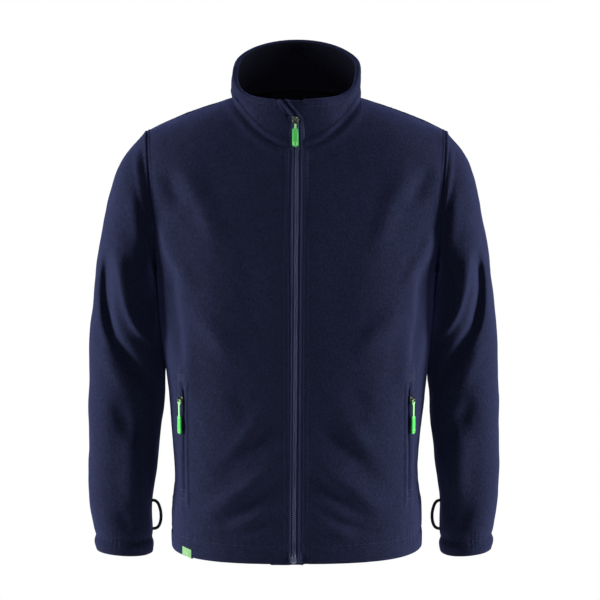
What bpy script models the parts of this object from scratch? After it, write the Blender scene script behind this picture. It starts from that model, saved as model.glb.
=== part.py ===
"""Fleece zip jacket, size large, filled out as it is worn.

Metres, +Z up. The front faces -Y and the wearer's left is +X. The origin is the middle of the neck at the
height where the shoulder seams meet the collar, which is where the wearer's shoulders carry the jacket.
Tables are in millimetres; MM turns them to metres.
"""

import math
from collections import namedtuple

import bmesh
import bpy
from mathutils import Matrix, Vector

MM = 0.001

# ---------------------------------------------------------------- driving dimensions, in millimetres
CLOTH = 3.0  # fleece, one layer
COLLAR_CLOTH = 4.3  # two layers
SEAM_GAP = 0.3  # between pieces that meet
HEM_HEIGHT = -690.5
UNDERARM_HEIGHT = -262.0
NECK_HALF_WIDTH, NECK_FRONT, NECK_BACK = 98.5, 98.0, 68.0
NECK_FRONT_DROP, NECK_BACK_RISE = 71.0, 8.0
RIM_HALF_WIDTH, RIM_DEPTH = 97.0, 72.0
RIM_MIDDLE_HEIGHT, RIM_TILT = 43.0, 39.0
SHOULDER_SEAM_ANGLE = math.radians(86)  # round the neckline, from the front
SHOULDER_TIP = (227.0, -6.0, -50.0)
SHOULDER_CROWN = 2.5  # rise of the shoulder seam over a straight line
ARM_MIDDLE_X, ARM_LEAN, ARM_HOLLOW = 220.0, 7.0, 3.0
ARM_FRONT, ARM_BACK = 72.0, 76.0
SIDE_POWER = 2.6  # squareness of the body's cross-section

COLUMNS = 12  # faces across one front, and across half the back
ARM_ROWS = 12  # faces up each side of the armhole
FRONT_NECK_ROW, BACK_NECK_ROW = 6, 7  # the row, counted from the underarm, that ends at the neckline's start
COLLAR_ROWS = 5

ZIP_EDGES = {-1: (-11.0, -11.5), 1: (9.5, 11.5)}  # each front's edge at the hem and at the collar
CHAIN_X = (-4.0, 0.8)  # middle of the zip's teeth at the hem and at the collar
TAPE_INSET, TAPE_THICK = 1.5, 1.3
CHAIN_HALF_WIDTH, CHAIN_INSET = 3.2, 0.3
SLIDER_X, SLIDER_HEIGHT = -1.5, -30.0

Body = namedtuple("Body", "height half_width front back")
BODY = (
    Body(-690.5, 194.0, 138.5, 124.0),
    Body(-679.0, 196.0, 140.0, 126.0),  # belly of the hem's turn-up
    Body(-664.0, 192.8, 137.3, 123.0),  # its stitch line, drawn in
    Body(-652.0, 194.8, 139.3, 125.0),
    Body(-628.0, 194.3, 139.5, 125.0),
    Body(-604.0, 190.3, 139.0, 123.5),
    Body(-572.0, 188.7, 138.5, 120.5),
    Body(-538.0, 190.5, 138.5, 118.0),
    Body(-498.0, 193.5, 139.5, 116.0),
    Body(-455.0, 196.8, 141.0, 115.5),
    Body(-405.0, 201.0, 143.0, 118.0),
    Body(-355.0, 205.5, 144.5, 122.0),
    Body(-308.0, 210.0, 145.5, 126.0),
    Body(-262.0, 213.0, 145.0, 129.0),
)

# The middle line of the front and of the back above the underarm, up to the neckline.
Line = namedtuple("Line", "height depth")
CHEST = (
    Line(-262, 145), Line(-228, 142.5), Line(-192, 137), Line(-158, 129.5), Line(-128, 120.5), Line(-99, 110),
    Line(-71, 98),
)
SPINE = (
    Line(-262, 129), Line(-222, 131), Line(-182, 129.5), Line(-142, 124), Line(-102, 114), Line(-62, 100),
    Line(-25, 84), Line(8, 68),
)

# A sleeve's rings, from the armhole down: the outermost and the innermost point as seen from the front,
# and how far the ring reaches to the front and to the back.
Ring = namedtuple("Ring", "out_x out_z in_x in_z front back")
SLEEVE = (
    Ring(227.0, -50.0, 213.0, -262.0, 72.0, 76.0),
    Ring(230.5, -52.0, 215.0, -265.0, 75.0, 78.5),  # outer edge of the raised seam allowance
    Ring(230.0, -57.5, 216.0, -268.0, 71.5, 75.5),
    Ring(241.0, -67.0, 216.5, -272.0, 74.0, 78.0),
    Ring(253.5, -80.0, 216.0, -277.0, 79.0, 82.0),
    Ring(264.0, -96.0, 215.2, -283.0, 82.0, 85.0),
    Ring(273.7, -119.0, 214.5, -291.0, 82.0, 86.0),
    Ring(280.7, -144.0, 213.7, -300.0, 81.5, 86.5),
    Ring(286.8, -171.0, 212.8, -310.0, 80.5, 86.5),
    Ring(292.3, -200.0, 211.8, -321.0, 79.0, 86.0),
    Ring(297.3, -231.0, 210.7, -333.0, 77.0, 85.0),
    Ring(302.0, -262.0, 209.5, -346.0, 74.5, 83.0),
    Ring(305.5, -292.0, 208.2, -360.0, 72.0, 80.0),
    Ring(308.8, -322.0, 206.6, -376.0, 69.0, 76.5),
    Ring(313.0, -352.0, 205.0, -393.0, 66.0, 72.5),
    Ring(315.5, -382.0, 203.5, -411.0, 63.5, 68.5),
    Ring(316.5, -412.0, 203.2, -431.0, 61.5, 64.5),
    Ring(316.5, -442.0, 203.8, -453.0, 60.0, 60.0),
    Ring(317.5, -472.0, 205.0, -477.0, 59.0, 54.5),
    Ring(318.0, -502.0, 207.8, -502.0, 58.0, 48.5),
    Ring(319.0, -532.0, 212.0, -531.0, 57.0, 42.5),
    Ring(319.5, -562.0, 215.8, -561.0, 55.5, 37.0),
    Ring(318.5, -592.0, 220.5, -592.0, 54.0, 32.0),
    Ring(317.5, -618.0, 223.8, -619.0, 52.5, 28.0),
    Ring(315.0, -644.0, 224.5, -646.0, 51.0, 24.0),
    Ring(312.0, -666.0, 223.7, -670.0, 49.5, 21.5),
    Ring(310.0, -678.0, 224.8, -683.0, 46.5, 18.0),  # the cuff's stitch line, drawn in
    Ring(312.5, -688.5, 223.2, -694.5, 49.0, 20.0),
    Ring(310.0, -699.0, 224.8, -705.5, 48.0, 18.5),
)
SLEEVE_POWER = 2.25
SLEEVE_REACH = 4.6  # the right sleeve stands out this much further than the middle of the two, the left less
SLEEVE_REACH_RINGS = 8  # rings over which that grows

# Folds seen from the front or from behind: the run of each as x, z from the top, how far it stands out (or
# dips, below 0) and its width. Sleeve folds of the left are mirrored runs with their own numbers.
Fold = namedtuple("Fold", "name face depth width run")
SLEEVE_FOLDS = {
    -1: (
        Fold("armhole crest", -1, 9.0, 8.0, ((240, -74), (234, -108), (227, -142), (219, -172), (212, -206))),
        Fold("armhole hollow", -1, -7.0, 9.0, ((231, -84), (226, -114), (221, -142), (216, -170))),
        Fold("upper trough", -1, -7.0, 12.0, ((281, -226), (282, -287), (280, -335), (261, -374), (241, -405))),
        Fold("upper crest", -1, 5.0, 11.0, ((263, -240), (260, -295), (251, -330), (236, -356))),
        Fold("elbow crest", -1, 4.0, 13.0, ((292, -372), (272, -408), (248, -436))),
        Fold("forearm trough", -1, -4.0, 13.0, ((286, -470), (262, -505), (240, -528))),
        Fold("back armhole crest", 1, 7.0, 9.0, ((243, -78), (237, -118), (228, -158), (218, -200))),
        Fold("back armhole hollow", 1, -5.0, 9.0, ((232, -88), (227, -120), (221, -152))),
        Fold("back elbow fold", 1, -5.0, 14.0, ((292, -330), (262, -372), (236, -396))),
        Fold("back forearm fold", 1, -4.0, 13.0, ((290, -430), (262, -452), (240, -462))),
    ),
    1: (
        Fold("armhole crest", -1, 9.0, 8.0, ((236, -72), (231, -99), (225, -133), (216, -167), (209, -199))),
        Fold("armhole hollow", -1, -7.0, 9.0, ((228, -84), (224, -112), (219, -140), (214, -166))),
        Fold("upper trough", -1, -7.0, 12.0, ((277, -236), (279, -303), (274, -342), (256, -378), (231, -420))),
        Fold("upper crest", -1, 5.0, 11.0, ((262, -252), (259, -304), (250, -336), (234, -362))),
        Fold("elbow crest", -1, 4.0, 13.0, ((286, -382), (264, -420), (242, -446))),
        Fold("forearm trough", -1, -4.0, 13.0, ((280, -486), (258, -516), (238, -540))),
        Fold("back armhole crest", 1, 7.0, 9.0, ((240, -80), (234, -120), (226, -160), (216, -202))),
        Fold("back armhole hollow", 1, -5.0, 9.0, ((229, -90), (224, -122), (219, -154))),
        Fold("back elbow fold", 1, -5.0, 14.0, ((288, -322), (260, -362), (234, -388))),
        Fold("back forearm fold", 1, -4.0, 13.0, ((286, -438), (258, -458), (238, -470))),
    ),
}
COLLAR_FOLDS = {
    -1: (
        Fold("side hollow", -1, -3.5, 8.0, ((96, 20), (88, -8), (72, -30), (50, -48))),
        Fold("side crest", -1, 2.5, 8.0, ((99, 2), (86, -22), (66, -44))),
    ),
    1: (
        Fold("side hollow", -1, -3.5, 8.0, ((95, 22), (86, -10), (68, -34), (46, -52))),
        Fold("side crest", -1, 2.5, 8.0, ((98, 0), (84, -26), (62, -48))),
    ),
}
COLLAR_BELLY = 1.0  # outward swell of the collar's sides
COLLAR_FOLD_RISE, COLLAR_FOLD_X = 0.55, 29.0  # the right front corner folds back above this share of the height

SEAM_BAND = 3.0  # width over which the cloth thickens to the collar's two layers
FLAP_X, FLAP_THICK, FLAP_BELOW_HEM, FLAP_TOP = (-38.0, -24.0, -11.5, 9.5), 2.5, 2.8, 2.0
FLAP_GAP = 0.6
GUARD_BOTTOM, GUARD_TOP, GUARD_INSET = -23.5, 2.5, 0.6

POCKET_ACROSS = (0.538, 0.59)  # the welt's edges, as shares of the front's width
POCKET_BOTTOM, POCKET_TOP, WELT_THICK = -620.0, -417.0, 1.2
POCKET_SLIDER_ACROSS, POCKET_SLIDER_HEIGHT = 0.622, -449.0

LABEL_ACROSS, LABEL_BOTTOM, LABEL_TOP, LABEL_THICK = (0.572, 0.622), -690.0, -680.0, 0.8

SLIDER_WIDTH, SLIDER_LENGTH, BAIL_WIRE = 10.5, 10.0, 0.7
TAPE_TOP = SLIDER_HEIGHT - SLIDER_LENGTH / 2 - 4 * SEAM_GAP
BOX_LOW, BOX_HIGH, BOX_HEIGHT = (-4.0, -2.0, -5.0), (4.0, -0.4, 5.0), -685.0
PULL_BAR, PULL_HOLE, LINK_HALF_WIDTH, LINK_THICK = 0.6, 6.2, 3.2, 1.4
NECK_HALF, GRIP_HALF, GRIP_LENGTH, GRIP_THICK = 2.0, 4.95, 28.0, 2.6
# How far the bail stands out of the slider's face, where the pull's bar hangs in it and how long the neck is.
Hardware = namedtuple("Hardware", "face_depth back_depth bail_reach hinge_depth neck_end")
MAIN_ZIP = Hardware(-1.5, 3.9, 5.6, 3.4, 14.0)
POCKET_ZIP = Hardware(-2.8, -0.3, 8.0, 5.8, 26.0)

LOOP_WIRE = 1.75
LOOP_RUN = (
    (224.35, -624.0), (220.2, -624.4), (215.6, -628.5), (212.8, -636.0), (211.2, -644.0),
    (211.2, -652.5), (212.6, -660.0), (215.6, -666.0), (220.0, -668.6), (224.2, -669.0),
)
LOOP_Y = -11.0


# ---------------------------------------------------------------- small tools
def blend(a, b, t):
    return a + (b - a) * t


def along(values, place):
    """A smooth curve through evenly spaced values, read at place, from 0 to the last value's number."""
    last = len(values) - 1
    k = min(int(max(place, 0.0)), last - 1)
    t = min(max(place - k, 0.0), 1.0)
    before = values[k - 1] if k > 0 else 2 * values[k] - values[k + 1]
    after = values[k + 2] if k + 2 <= last else 2 * values[k + 1] - values[k]
    start, end = values[k], values[k + 1]
    return start + 0.5 * t * (
        end - before + t * (2 * before - 5 * start + 4 * end - after + t * (3 * (start - end) + after - before))
    )


def row_at(rows, place):
    """A row of a table, read between its rows."""
    return type(rows[0])(*(along([row[k] for row in rows], place) for k in range(len(rows[0]))))


def power_wave(wave, power):
    """The sine or cosine of a squared-off circle."""
    return math.copysign(abs(wave) ** (2.0 / power), wave)


def at_height(ends, height):
    """A value given at the hem and at the collar, read between them."""
    rise = (height - HEM_HEIGHT) / (-NECK_FRONT_DROP - HEM_HEIGHT)
    return blend(ends[0], ends[1], min(max(rise, 0.0), 1.0))


def fold_push(folds, face, x, z):
    """How far the folds of one face push the cloth out at x, z."""
    push = 0.0
    for fold in folds:
        if fold.face != face:
            continue
        nearest, place = 1e9, 0.0
        spans = len(fold.run) - 1
        for k in range(spans):
            (ax, az), (bx, bz) = fold.run[k], fold.run[k + 1]
            dx, dz = bx - ax, bz - az
            t = min(max(((x - ax) * dx + (z - az) * dz) / (dx * dx + dz * dz), 0.0), 1.0)
            away = math.hypot(x - ax - t * dx, z - az - t * dz)
            if away < nearest:
                nearest, place = away, (k + t) / spans
        fade = math.sin(math.pi * min(max(0.12 + 0.76 * place, 0.0), 1.0)) ** 0.6
        push += fold.depth * fade * math.exp(-((nearest / fold.width) ** 2))
    return push


# ---------------------------------------------------------------- the seams' lines
def neckline(turn):
    """A point of the neckline, turn radians round from the middle of the front."""
    cosine, sine = math.cos(turn), math.sin(turn)
    depth = NECK_FRONT if cosine > 0 else NECK_BACK
    height = -NECK_FRONT_DROP if cosine > 0 else NECK_BACK_RISE
    return Vector((NECK_HALF_WIDTH * sine, -depth * cosine, height * cosine * cosine))


def neckline_inward(turn):
    """The way through the cloth at the neckline: inwards, and down where the shoulder is flat."""
    cosine, sine = math.cos(turn), math.sin(turn)
    down = 0.33 + 0.35 * sine * sine if cosine > 0 else 0.15 + 0.53 * sine * sine
    return Vector((-sine, cosine, -down)).normalized()


def rim(turn):
    """A point of the collar's top edge."""
    cosine, sine = math.cos(turn), math.sin(turn)
    return Vector((RIM_HALF_WIDTH * sine, -RIM_DEPTH * cosine, RIM_MIDDLE_HEIGHT - RIM_TILT * cosine))


def armhole(turn, face):
    """A point of the right-hand armhole (x over 0), turn radians down from the shoulder tip."""
    cosine, sine = math.cos(turn), math.sin(turn)
    tip_x, tip_y, tip_z = SHOULDER_TIP
    reach = ARM_FRONT if face < 0 else ARM_BACK
    middle = (tip_z + UNDERARM_HEIGHT) / 2
    return Vector((
        ARM_MIDDLE_X + ARM_LEAN * cosine - ARM_HOLLOW * sine * sine,
        tip_y * (1 + cosine) / 2 + face * reach * sine,
        middle + (tip_z - middle) * cosine,
    ))


def armhole_inward(turn, face):
    """The way through the cloth at the armhole, in the armhole's own plane."""
    step = 0.01
    run = armhole(turn + step, face) - armhole(turn - step, face)
    inward = Vector((0.0, run.z, -run.y)).normalized()
    centre = Vector((0.0, 0.0, (SHOULDER_TIP[2] + UNDERARM_HEIGHT) / 2))
    here = armhole(turn, face)
    here.x = 0.0
    return inward if inward.dot(centre - here) > 0 else -inward


# ---------------------------------------------------------------- the fronts and the back
def zip_edge(side, height):
    return at_height(ZIP_EDGES[side], height)


def panel_point(face, edge, place, across):
    """A point of a panel's outside. face: -1 front, 1 back. edge: the x of its inner edge, as a function of
    height. place: 0 at the hem, 1 at the underarm, 2 at the shoulder seam. across: 0 inner edge, 1 outer."""
    if place <= 1.0:
        section = row_at(BODY, place * (len(BODY) - 1))
        depth = section.front if face < 0 else section.back
        inner = Vector((edge(section.height), face * depth, section.height))
        outer = Vector((section.half_width, 0.0, section.height))
        sweep, power, climb = math.radians(90), SIDE_POWER, 0.0
    else:
        climb = place - 1.0
        line = CHEST if face < 0 else SPINE
        neck_row = FRONT_NECK_ROW if face < 0 else BACK_NECK_ROW
        neck_climb = neck_row / ARM_ROWS
        if climb <= neck_climb:
            middle = row_at(line, climb / neck_climb * (len(line) - 1))
            inner = Vector((edge(middle.height), face * middle.depth, middle.height))
        else:
            start = math.asin(edge(line[-1].height) / NECK_HALF_WIDTH)
            start = start if face < 0 else math.pi - start
            turn = blend(start, SHOULDER_SEAM_ANGLE, (climb - neck_climb) / (1 - neck_climb))
            inner = neckline(turn)
        outer = armhole(math.pi * (1 - climb), face)
        sweep = math.radians(90 - 40 * climb**0.6)
        power = blend(SIDE_POWER, 2.0, climb**0.5)
    sine = power_wave(math.sin(sweep * across) / math.sin(sweep), power)
    fall = (math.cos(sweep * across) - math.cos(sweep)) / (1 - math.cos(sweep))
    cosine = power_wave(max(fall, 0.0), power)
    point = Vector((
        blend(inner.x, outer.x, sine),
        blend(outer.y, inner.y, cosine),
        blend(inner.z, outer.z, sine),
    ))
    arch = math.sin(math.pi * across)
    point.z += SHOULDER_CROWN * arch * climb**4
    if face < 0:
        point.y -= 11.0 * arch * math.sin(math.pi * min(climb, 1.0)) ** 1.2
    else:
        point.y += 9.0 * arch * math.sin(math.pi * min(climb, 1.0)) ** 1.2
        point.z += 3.0 * arch * math.exp(-(((climb - 0.93) / 0.07) ** 2))
    return point


def normals(points, ring=False):
    """Unit normals of a grid of points, by the differences along its rows and columns."""
    rows, columns = len(points), len(points[0])
    found = []
    for r in range(rows):
        found.append([])
        for c in range(columns):
            left = points[r][(c - 1) % columns] if ring else points[r][max(c - 1, 0)]
            right = points[r][(c + 1) % columns] if ring else points[r][min(c + 1, columns - 1)]
            down, up = points[max(r - 1, 0)][c], points[min(r + 1, rows - 1)][c]
            found[-1].append((right - left).cross(up - down).normalized())
    return found


def step_back(point, neighbour):
    """A seam's point, moved half the seam's gap into its own piece."""
    return point + (neighbour - point).normalized() * (SEAM_GAP / 2)


def panel(face, side):
    """A panel's outer and inner points. side: 1 is the wearer's left, -1 the right, 0 half of the back."""
    edge = (lambda height: abs(zip_edge(side, height))) if face < 0 else (lambda height: 0.0)
    low_rows = len(BODY) - 1
    places = [r / low_rows for r in range(low_rows + 1)] + [1 + r / ARM_ROWS for r in range(1, ARM_ROWS + 1)]
    neck_row = low_rows + (FRONT_NECK_ROW if face < 0 else BACK_NECK_ROW)
    outer = [[panel_point(face, edge, place, c / COLUMNS) for c in range(COLUMNS + 1)] for place in places]
    inward = [[-n * (-face) for n in row] for row in normals(outer)]
    top, last = len(places) - 1, COLUMNS
    for r, row in enumerate(inward):
        row[0].x = 0.0
        if r <= low_rows:
            row[last] = Vector((-1.0, 0.0, 0.0))
        if r >= low_rows:
            row[last] = armhole_inward(math.pi * (1 - (r - low_rows) / ARM_ROWS), face)
        if r >= neck_row:
            start = math.asin(edge(-NECK_FRONT_DROP) / NECK_HALF_WIDTH)
            start = start if face < 0 else math.pi - start
            share = (r - neck_row) / (top - neck_row)
            row[0] = neckline_inward(blend(start, SHOULDER_SEAM_ANGLE, share))
            if r == neck_row:
                row[0].x = 0.0
    for c in range(COLUMNS + 1):
        inward[0][c].z = 0.0
        if 0 < c < last:
            inward[top][c].y = 0.0
    inner = []
    shifted = [[point.copy() for point in row] for row in outer]
    for r in range(top + 1):
        shifted[r][last] = step_back(shifted[r][last], outer[r][last - 1])
        if r > neck_row or (r == neck_row and face > 0):
            shifted[r][0] = step_back(shifted[r][0], outer[r][1])
    if face < 0:
        shifted[neck_row][0] = step_back(shifted[neck_row][0], outer[neck_row - 1][0])
    else:
        shifted[neck_row][0] = step_back(outer[neck_row][0], outer[neck_row - 1][0])
    for c in range(COLUMNS + 1):
        shifted[top][c] = step_back(shifted[top][c], outer[top - 1][c])
    for r, row in enumerate(shifted):
        inner.append([point + inward[r][c].normalized() * CLOTH for c, point in enumerate(row)])
    return shifted, inner, neck_row


# ---------------------------------------------------------------- the sleeves
def sleeve_point(side, place, turn, face):
    """A point of a sleeve's outside, its x over 0. place: 0 at the armhole, then in rings down to the cuff.
    turn: 0 at the top or outer side, pi at the underarm side."""
    if place == 0:
        return armhole(turn, face)
    ring = row_at(SLEEVE, place)
    settle = min(place / 6, 1.0)
    power = blend(2.0, SLEEVE_POWER, settle)
    cosine, sine = power_wave(math.cos(turn), power), power_wave(math.sin(turn), power)
    reach = ring.front if face < 0 else ring.back
    point = Vector((
        blend(ring.in_x, ring.out_x, (1 + cosine) / 2) - (1 - settle) * ARM_HOLLOW * sine * sine,
        (1 - settle) * SHOULDER_TIP[1] * (1 + cosine) / 2 + face * reach * sine,
        blend(ring.in_z, ring.out_z, (1 + cosine) / 2),
    ))
    point.y += face * fold_push(SLEEVE_FOLDS[side], face, point.x, point.z) * sine * min(place / 2, 1.0)
    point.x -= side * SLEEVE_REACH * min(place / SLEEVE_REACH_RINGS, 1.0) * (1 + cosine) / 2
    return point


def sleeve_columns():
    """The turn and the face of each column, from the shoulder tip down the front and up the back."""
    fronts = [(math.pi * c / ARM_ROWS, -1) for c in range(ARM_ROWS + 1)]
    backs = [(math.pi * c / ARM_ROWS, 1) for c in range(ARM_ROWS - 1, 0, -1)]
    return fronts + backs


def sleeve(side):
    """A sleeve's outer and inner points, its x over 0."""
    columns = sleeve_columns()
    outer = [[sleeve_point(side, place, turn, face) for turn, face in columns] for place in range(len(SLEEVE))]
    inward = [[-n for n in row] for row in normals(outer, ring=True)]
    inward[0] = [armhole_inward(turn, face) for turn, face in columns]
    for way in inward[-1]:
        way.z = 0.0
    shifted = [[point.copy() for point in row] for row in outer]
    shifted[0] = [step_back(point, below) for point, below in zip(outer[0], outer[1])]
    inner = [[p + way.normalized() * CLOTH for p, way in zip(*rows)] for rows in zip(shifted, inward)]
    return shifted, inner


# ---------------------------------------------------------------- the collar
def collar_turns(rise):
    """The collar's columns at one height, rise from 0 at the neckline to 1 at the rim."""
    half_width = blend(NECK_HALF_WIDTH, RIM_HALF_WIDTH, rise)
    left = math.asin(ZIP_EDGES[1][1] / half_width)
    fold_x = blend(-ZIP_EDGES[-1][1], COLLAR_FOLD_X, max(rise - COLLAR_FOLD_RISE, 0.0) / (1 - COLLAR_FOLD_RISE))
    right = math.asin(fold_x / half_width)
    front, back = ARM_ROWS - FRONT_NECK_ROW, ARM_ROWS - BACK_NECK_ROW
    turns = [blend(left, SHOULDER_SEAM_ANGLE, k / front) for k in range(front)]
    turns += [blend(SHOULDER_SEAM_ANGLE, math.pi, k / back) for k in range(back)]
    turns += [2 * math.pi - blend(math.pi, SHOULDER_SEAM_ANGLE, k / back) for k in range(back)]
    turns += [2 * math.pi - blend(SHOULDER_SEAM_ANGLE, right, k / front) for k in range(front + 1)]
    return turns


def collar_point(turn, rise):
    """A point of the collar's outside."""
    base, top = neckline(turn), rim(turn)
    side = math.sin(turn) ** 2
    inwards = rise ** blend(1.0, 0.5, side)
    point = Vector((blend(base.x, top.x, inwards), blend(base.y, top.y, inwards), blend(base.z, top.z, rise)))
    outward = Vector((math.sin(turn), -math.cos(turn), 0.0))
    point += outward * (COLLAR_BELLY * side * math.sin(math.pi * rise))
    if math.cos(turn) > 0:
        push = fold_push(COLLAR_FOLDS[1 if point.x > 0 else -1], -1, abs(point.x), point.z)
        point += outward * push * math.sin(math.pi * min(rise * 1.15, 1.0))
    return point


def collar():
    """The collar's outer and inner points, from its left front edge round the back to its right one."""
    rises = [r / COLLAR_ROWS for r in range(COLLAR_ROWS + 1)]
    outer = [[collar_point(turn, rise) for turn in collar_turns(rise)] for rise in rises]
    inward = [[-n for n in row] for row in normals(outer)]
    inward[0] = [neckline_inward(turn) for turn in collar_turns(0.0)]
    for way in inward[-1]:
        way.z = 0.0
    for row in inward:
        row[0].x = row[-1].x = 0.0
    shifted = [[point.copy() for point in row] for row in outer]
    shifted[0] = [step_back(point, above) for point, above in zip(outer[0], outer[1])]
    inner = [[p + way.normalized() * COLLAR_CLOTH for p, way in zip(*rows)] for rows in zip(shifted, inward)]
    return shifted, inner


# ---------------------------------------------------------------- meshes
def add_object(name, mesh, finish, collection=None):
    mesh.materials.append(finish)
    mesh.shade_smooth()
    mesh.set_sharp_from_angle(angle=math.radians(40))
    obj = bpy.data.objects.new(name, mesh)
    (collection or GARMENT).objects.link(obj)
    return obj


def material(name, colour, roughness, metallic=0.0):
    made = bpy.data.materials.new(name)
    made.use_nodes = True
    shader = made.node_tree.nodes["Principled BSDF"]
    shader.inputs["Base Color"].default_value = (*colour, 1.0)
    shader.inputs["Roughness"].default_value = roughness
    shader.inputs["Metallic"].default_value = metallic
    made.diffuse_color = (*colour, 1.0)
    return made


def wall(name, outer, inner, finish, ring=False, open_rows=0, side=1):
    """A closed wall between two grids of points. ring: its columns close into a tube. open_rows: that many
    rows of its first column are left open, for a mirror to close. side: -1 turns it to x below 0."""
    rows, columns = len(outer), len(outer[0])
    way = Vector((side * MM, MM, MM))
    shape = bmesh.new()
    sheets = [[[shape.verts.new(point * way) for point in row] for row in grid] for grid in (outer, inner)]
    spans = columns if ring else columns - 1
    loops = []
    for r in range(rows - 1):
        for c in range(spans):
            d = (c + 1) % columns
            loops += [(s[r][c], s[r][d], s[r + 1][d], s[r + 1][c]) for s in sheets]
    for r in (0, rows - 1):
        for c in range(spans):
            d = (c + 1) % columns
            loops.append((sheets[0][r][c], sheets[0][r][d], sheets[1][r][d], sheets[1][r][c]))
    if not ring:
        for c, first in ((0, open_rows), (columns - 1, 0)):
            for r in range(first, rows - 1):
                loops.append((sheets[0][r][c], sheets[0][r + 1][c], sheets[1][r + 1][c], sheets[1][r][c]))
    for loop in loops:
        shape.faces.new(loop)
    bmesh.ops.recalc_face_normals(shape, faces=shape.faces)
    mesh = bpy.data.meshes.new(name)
    shape.to_mesh(mesh)
    shape.free()
    return add_object(name, mesh, finish)


# ---------------------------------------------------------------- strips down the middle of the front
def skin_rows(front, neck_row, collar_rows):
    """The rows of points of a front and of the collar above it, from the hem to the rim."""
    seam = [point - Vector((0.0, 0.0, SEAM_BAND)) for point in collar_rows[0]]
    rows = front[:neck_row] + [seam] + collar_rows
    return [row[: COLUMNS // 2 + 1] for row in rows]


def skin_depth(rows, x, height):
    """Where the skin lies, front to back, at x and a height."""
    line = []
    for row in rows:
        for low, high in zip(row, row[1:]):
            if abs(x) <= high.x:
                break
        line.append(low.lerp(high, max((abs(x) - low.x) / (high.x - low.x), 0.0)))
    for low, high in zip(line, line[1:]):
        if height <= high.z:
            break
    share = min(max((height - low.z) / (high.z - low.z), 0.0), 1.0)
    return blend(low.y, high.y, share)


def strip(name, bottom, top, columns, finish):
    """A strip down the middle of the front. columns: for each, its x as a function of height, then the skin
    and the depth under it for its outer face, and for its inner face."""
    middle = [row[0].z for row in columns[0][1]]
    heights = [bottom] + [z for z in middle if bottom + 1 < z < top - 1] + [top]
    grids = []
    for face in (1, 3):
        grids.append([])
        for height in heights:
            row = []
            for column in columns:
                x = column[0](height)
                row.append(Vector((x, skin_depth(column[face], x, height) + column[face + 1], height)))
            grids[-1].append(row)
    return wall(name, *grids, finish)


# ---------------------------------------------------------------- what lies on a front
def on_panel(grid, across, height, proud):
    """A point over a front's flat faces, proud of them, with the faces' outward normal."""
    column = min(int(across * COLUMNS), COLUMNS - 1)
    t = across * COLUMNS - column
    rows = [row[column].lerp(row[column + 1], t) for row in grid]
    for r in range(len(rows) - 1):
        if height <= rows[r + 1].z or r == len(rows) - 2:
            break
    low, high = grid[r], grid[r + 1]
    point = rows[r].lerp(rows[r + 1], (height - rows[r].z) / (rows[r + 1].z - rows[r].z))
    sideways = (low[column + 1] - low[column]) + (high[column + 1] - high[column])
    upwards = rows[r + 1] - rows[r]
    outward = sideways.cross(upwards).normalized()
    return point + outward * proud, outward


def patch(name, grid, acrosses, heights, thick, finish, side):
    """A thin piece on a front, from the front's own points."""
    outer = [[on_panel(grid, a, h, SEAM_GAP + thick)[0] for a in acrosses] for h in heights]
    inner = [[on_panel(grid, a, h, SEAM_GAP)[0] for a in acrosses] for h in heights]
    return wall(name, outer, inner, finish, side=side)


# ---------------------------------------------------------------- the zips' hardware
def frame_at(origin, inward, sideways):
    """A local frame in metres: X sideways, Y into the cloth, Z up along it."""
    y = inward.normalized()
    x = (sideways - y * sideways.dot(y)).normalized()
    z = x.cross(y)
    place = Matrix((x, y, z)).transposed().to_4x4()
    place.translation = origin * MM
    return place


def block(name, low, high, bevel):
    """A box between two corners, its edges rounded, as a mesh."""
    shape = bmesh.new()
    bmesh.ops.create_cube(shape, size=1.0)
    low, high = Vector(low) * MM, Vector(high) * MM
    bmesh.ops.scale(shape, vec=high - low, verts=shape.verts)
    bmesh.ops.translate(shape, vec=(low + high) / 2, verts=shape.verts)
    bmesh.ops.bevel(shape, geom=shape.edges, offset=bevel * MM, segments=1, affect="EDGES")
    mesh = bpy.data.meshes.new(name)
    shape.to_mesh(mesh)
    shape.free()
    return mesh


def curve_mesh(name, curve):
    """A curve's solid as a mesh with its caps closed."""
    obj = bpy.data.objects.new(name, curve)
    bpy.context.scene.collection.objects.link(obj)
    graph = bpy.context.evaluated_depsgraph_get()
    mesh = bpy.data.meshes.new_from_object(obj.evaluated_get(graph))
    bpy.data.objects.remove(obj)
    shape = bmesh.new()
    shape.from_mesh(mesh)
    bmesh.ops.remove_doubles(shape, verts=shape.verts, dist=1e-6)
    bmesh.ops.recalc_face_normals(shape, faces=shape.faces)
    shape.to_mesh(mesh)
    shape.free()
    return mesh


def tube(name, points, radius, resolution=2):
    curve = bpy.data.curves.new(name, "CURVE")
    curve.dimensions = "3D"
    curve.bevel_depth = radius * MM
    curve.bevel_resolution = resolution
    curve.use_fill_caps = True
    spline = curve.splines.new("POLY")
    spline.points.add(len(points) - 1)
    for slot, point in zip(spline.points, points):
        slot.co = (*(point * MM), 1.0)
    return curve_mesh(name, curve)


def plate(name, outlines, thick):
    """A flat plate in the frame's X-Z plane from closed outlines, the later ones being holes."""
    curve = bpy.data.curves.new(name, "CURVE")
    curve.dimensions = "2D"
    curve.fill_mode = "BOTH"
    curve.extrude = thick / 2 * MM
    for outline in outlines:
        spline = curve.splines.new("POLY")
        spline.points.add(len(outline) - 1)
        spline.use_cyclic_u = True
        for slot, (x, z) in zip(spline.points, outline):
            slot.co = (x * MM, z * MM, 0.0, 1.0)
    mesh = curve_mesh(name, curve)
    mesh.transform(Matrix.Rotation(math.radians(90), 4, "X"))
    return mesh


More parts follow.
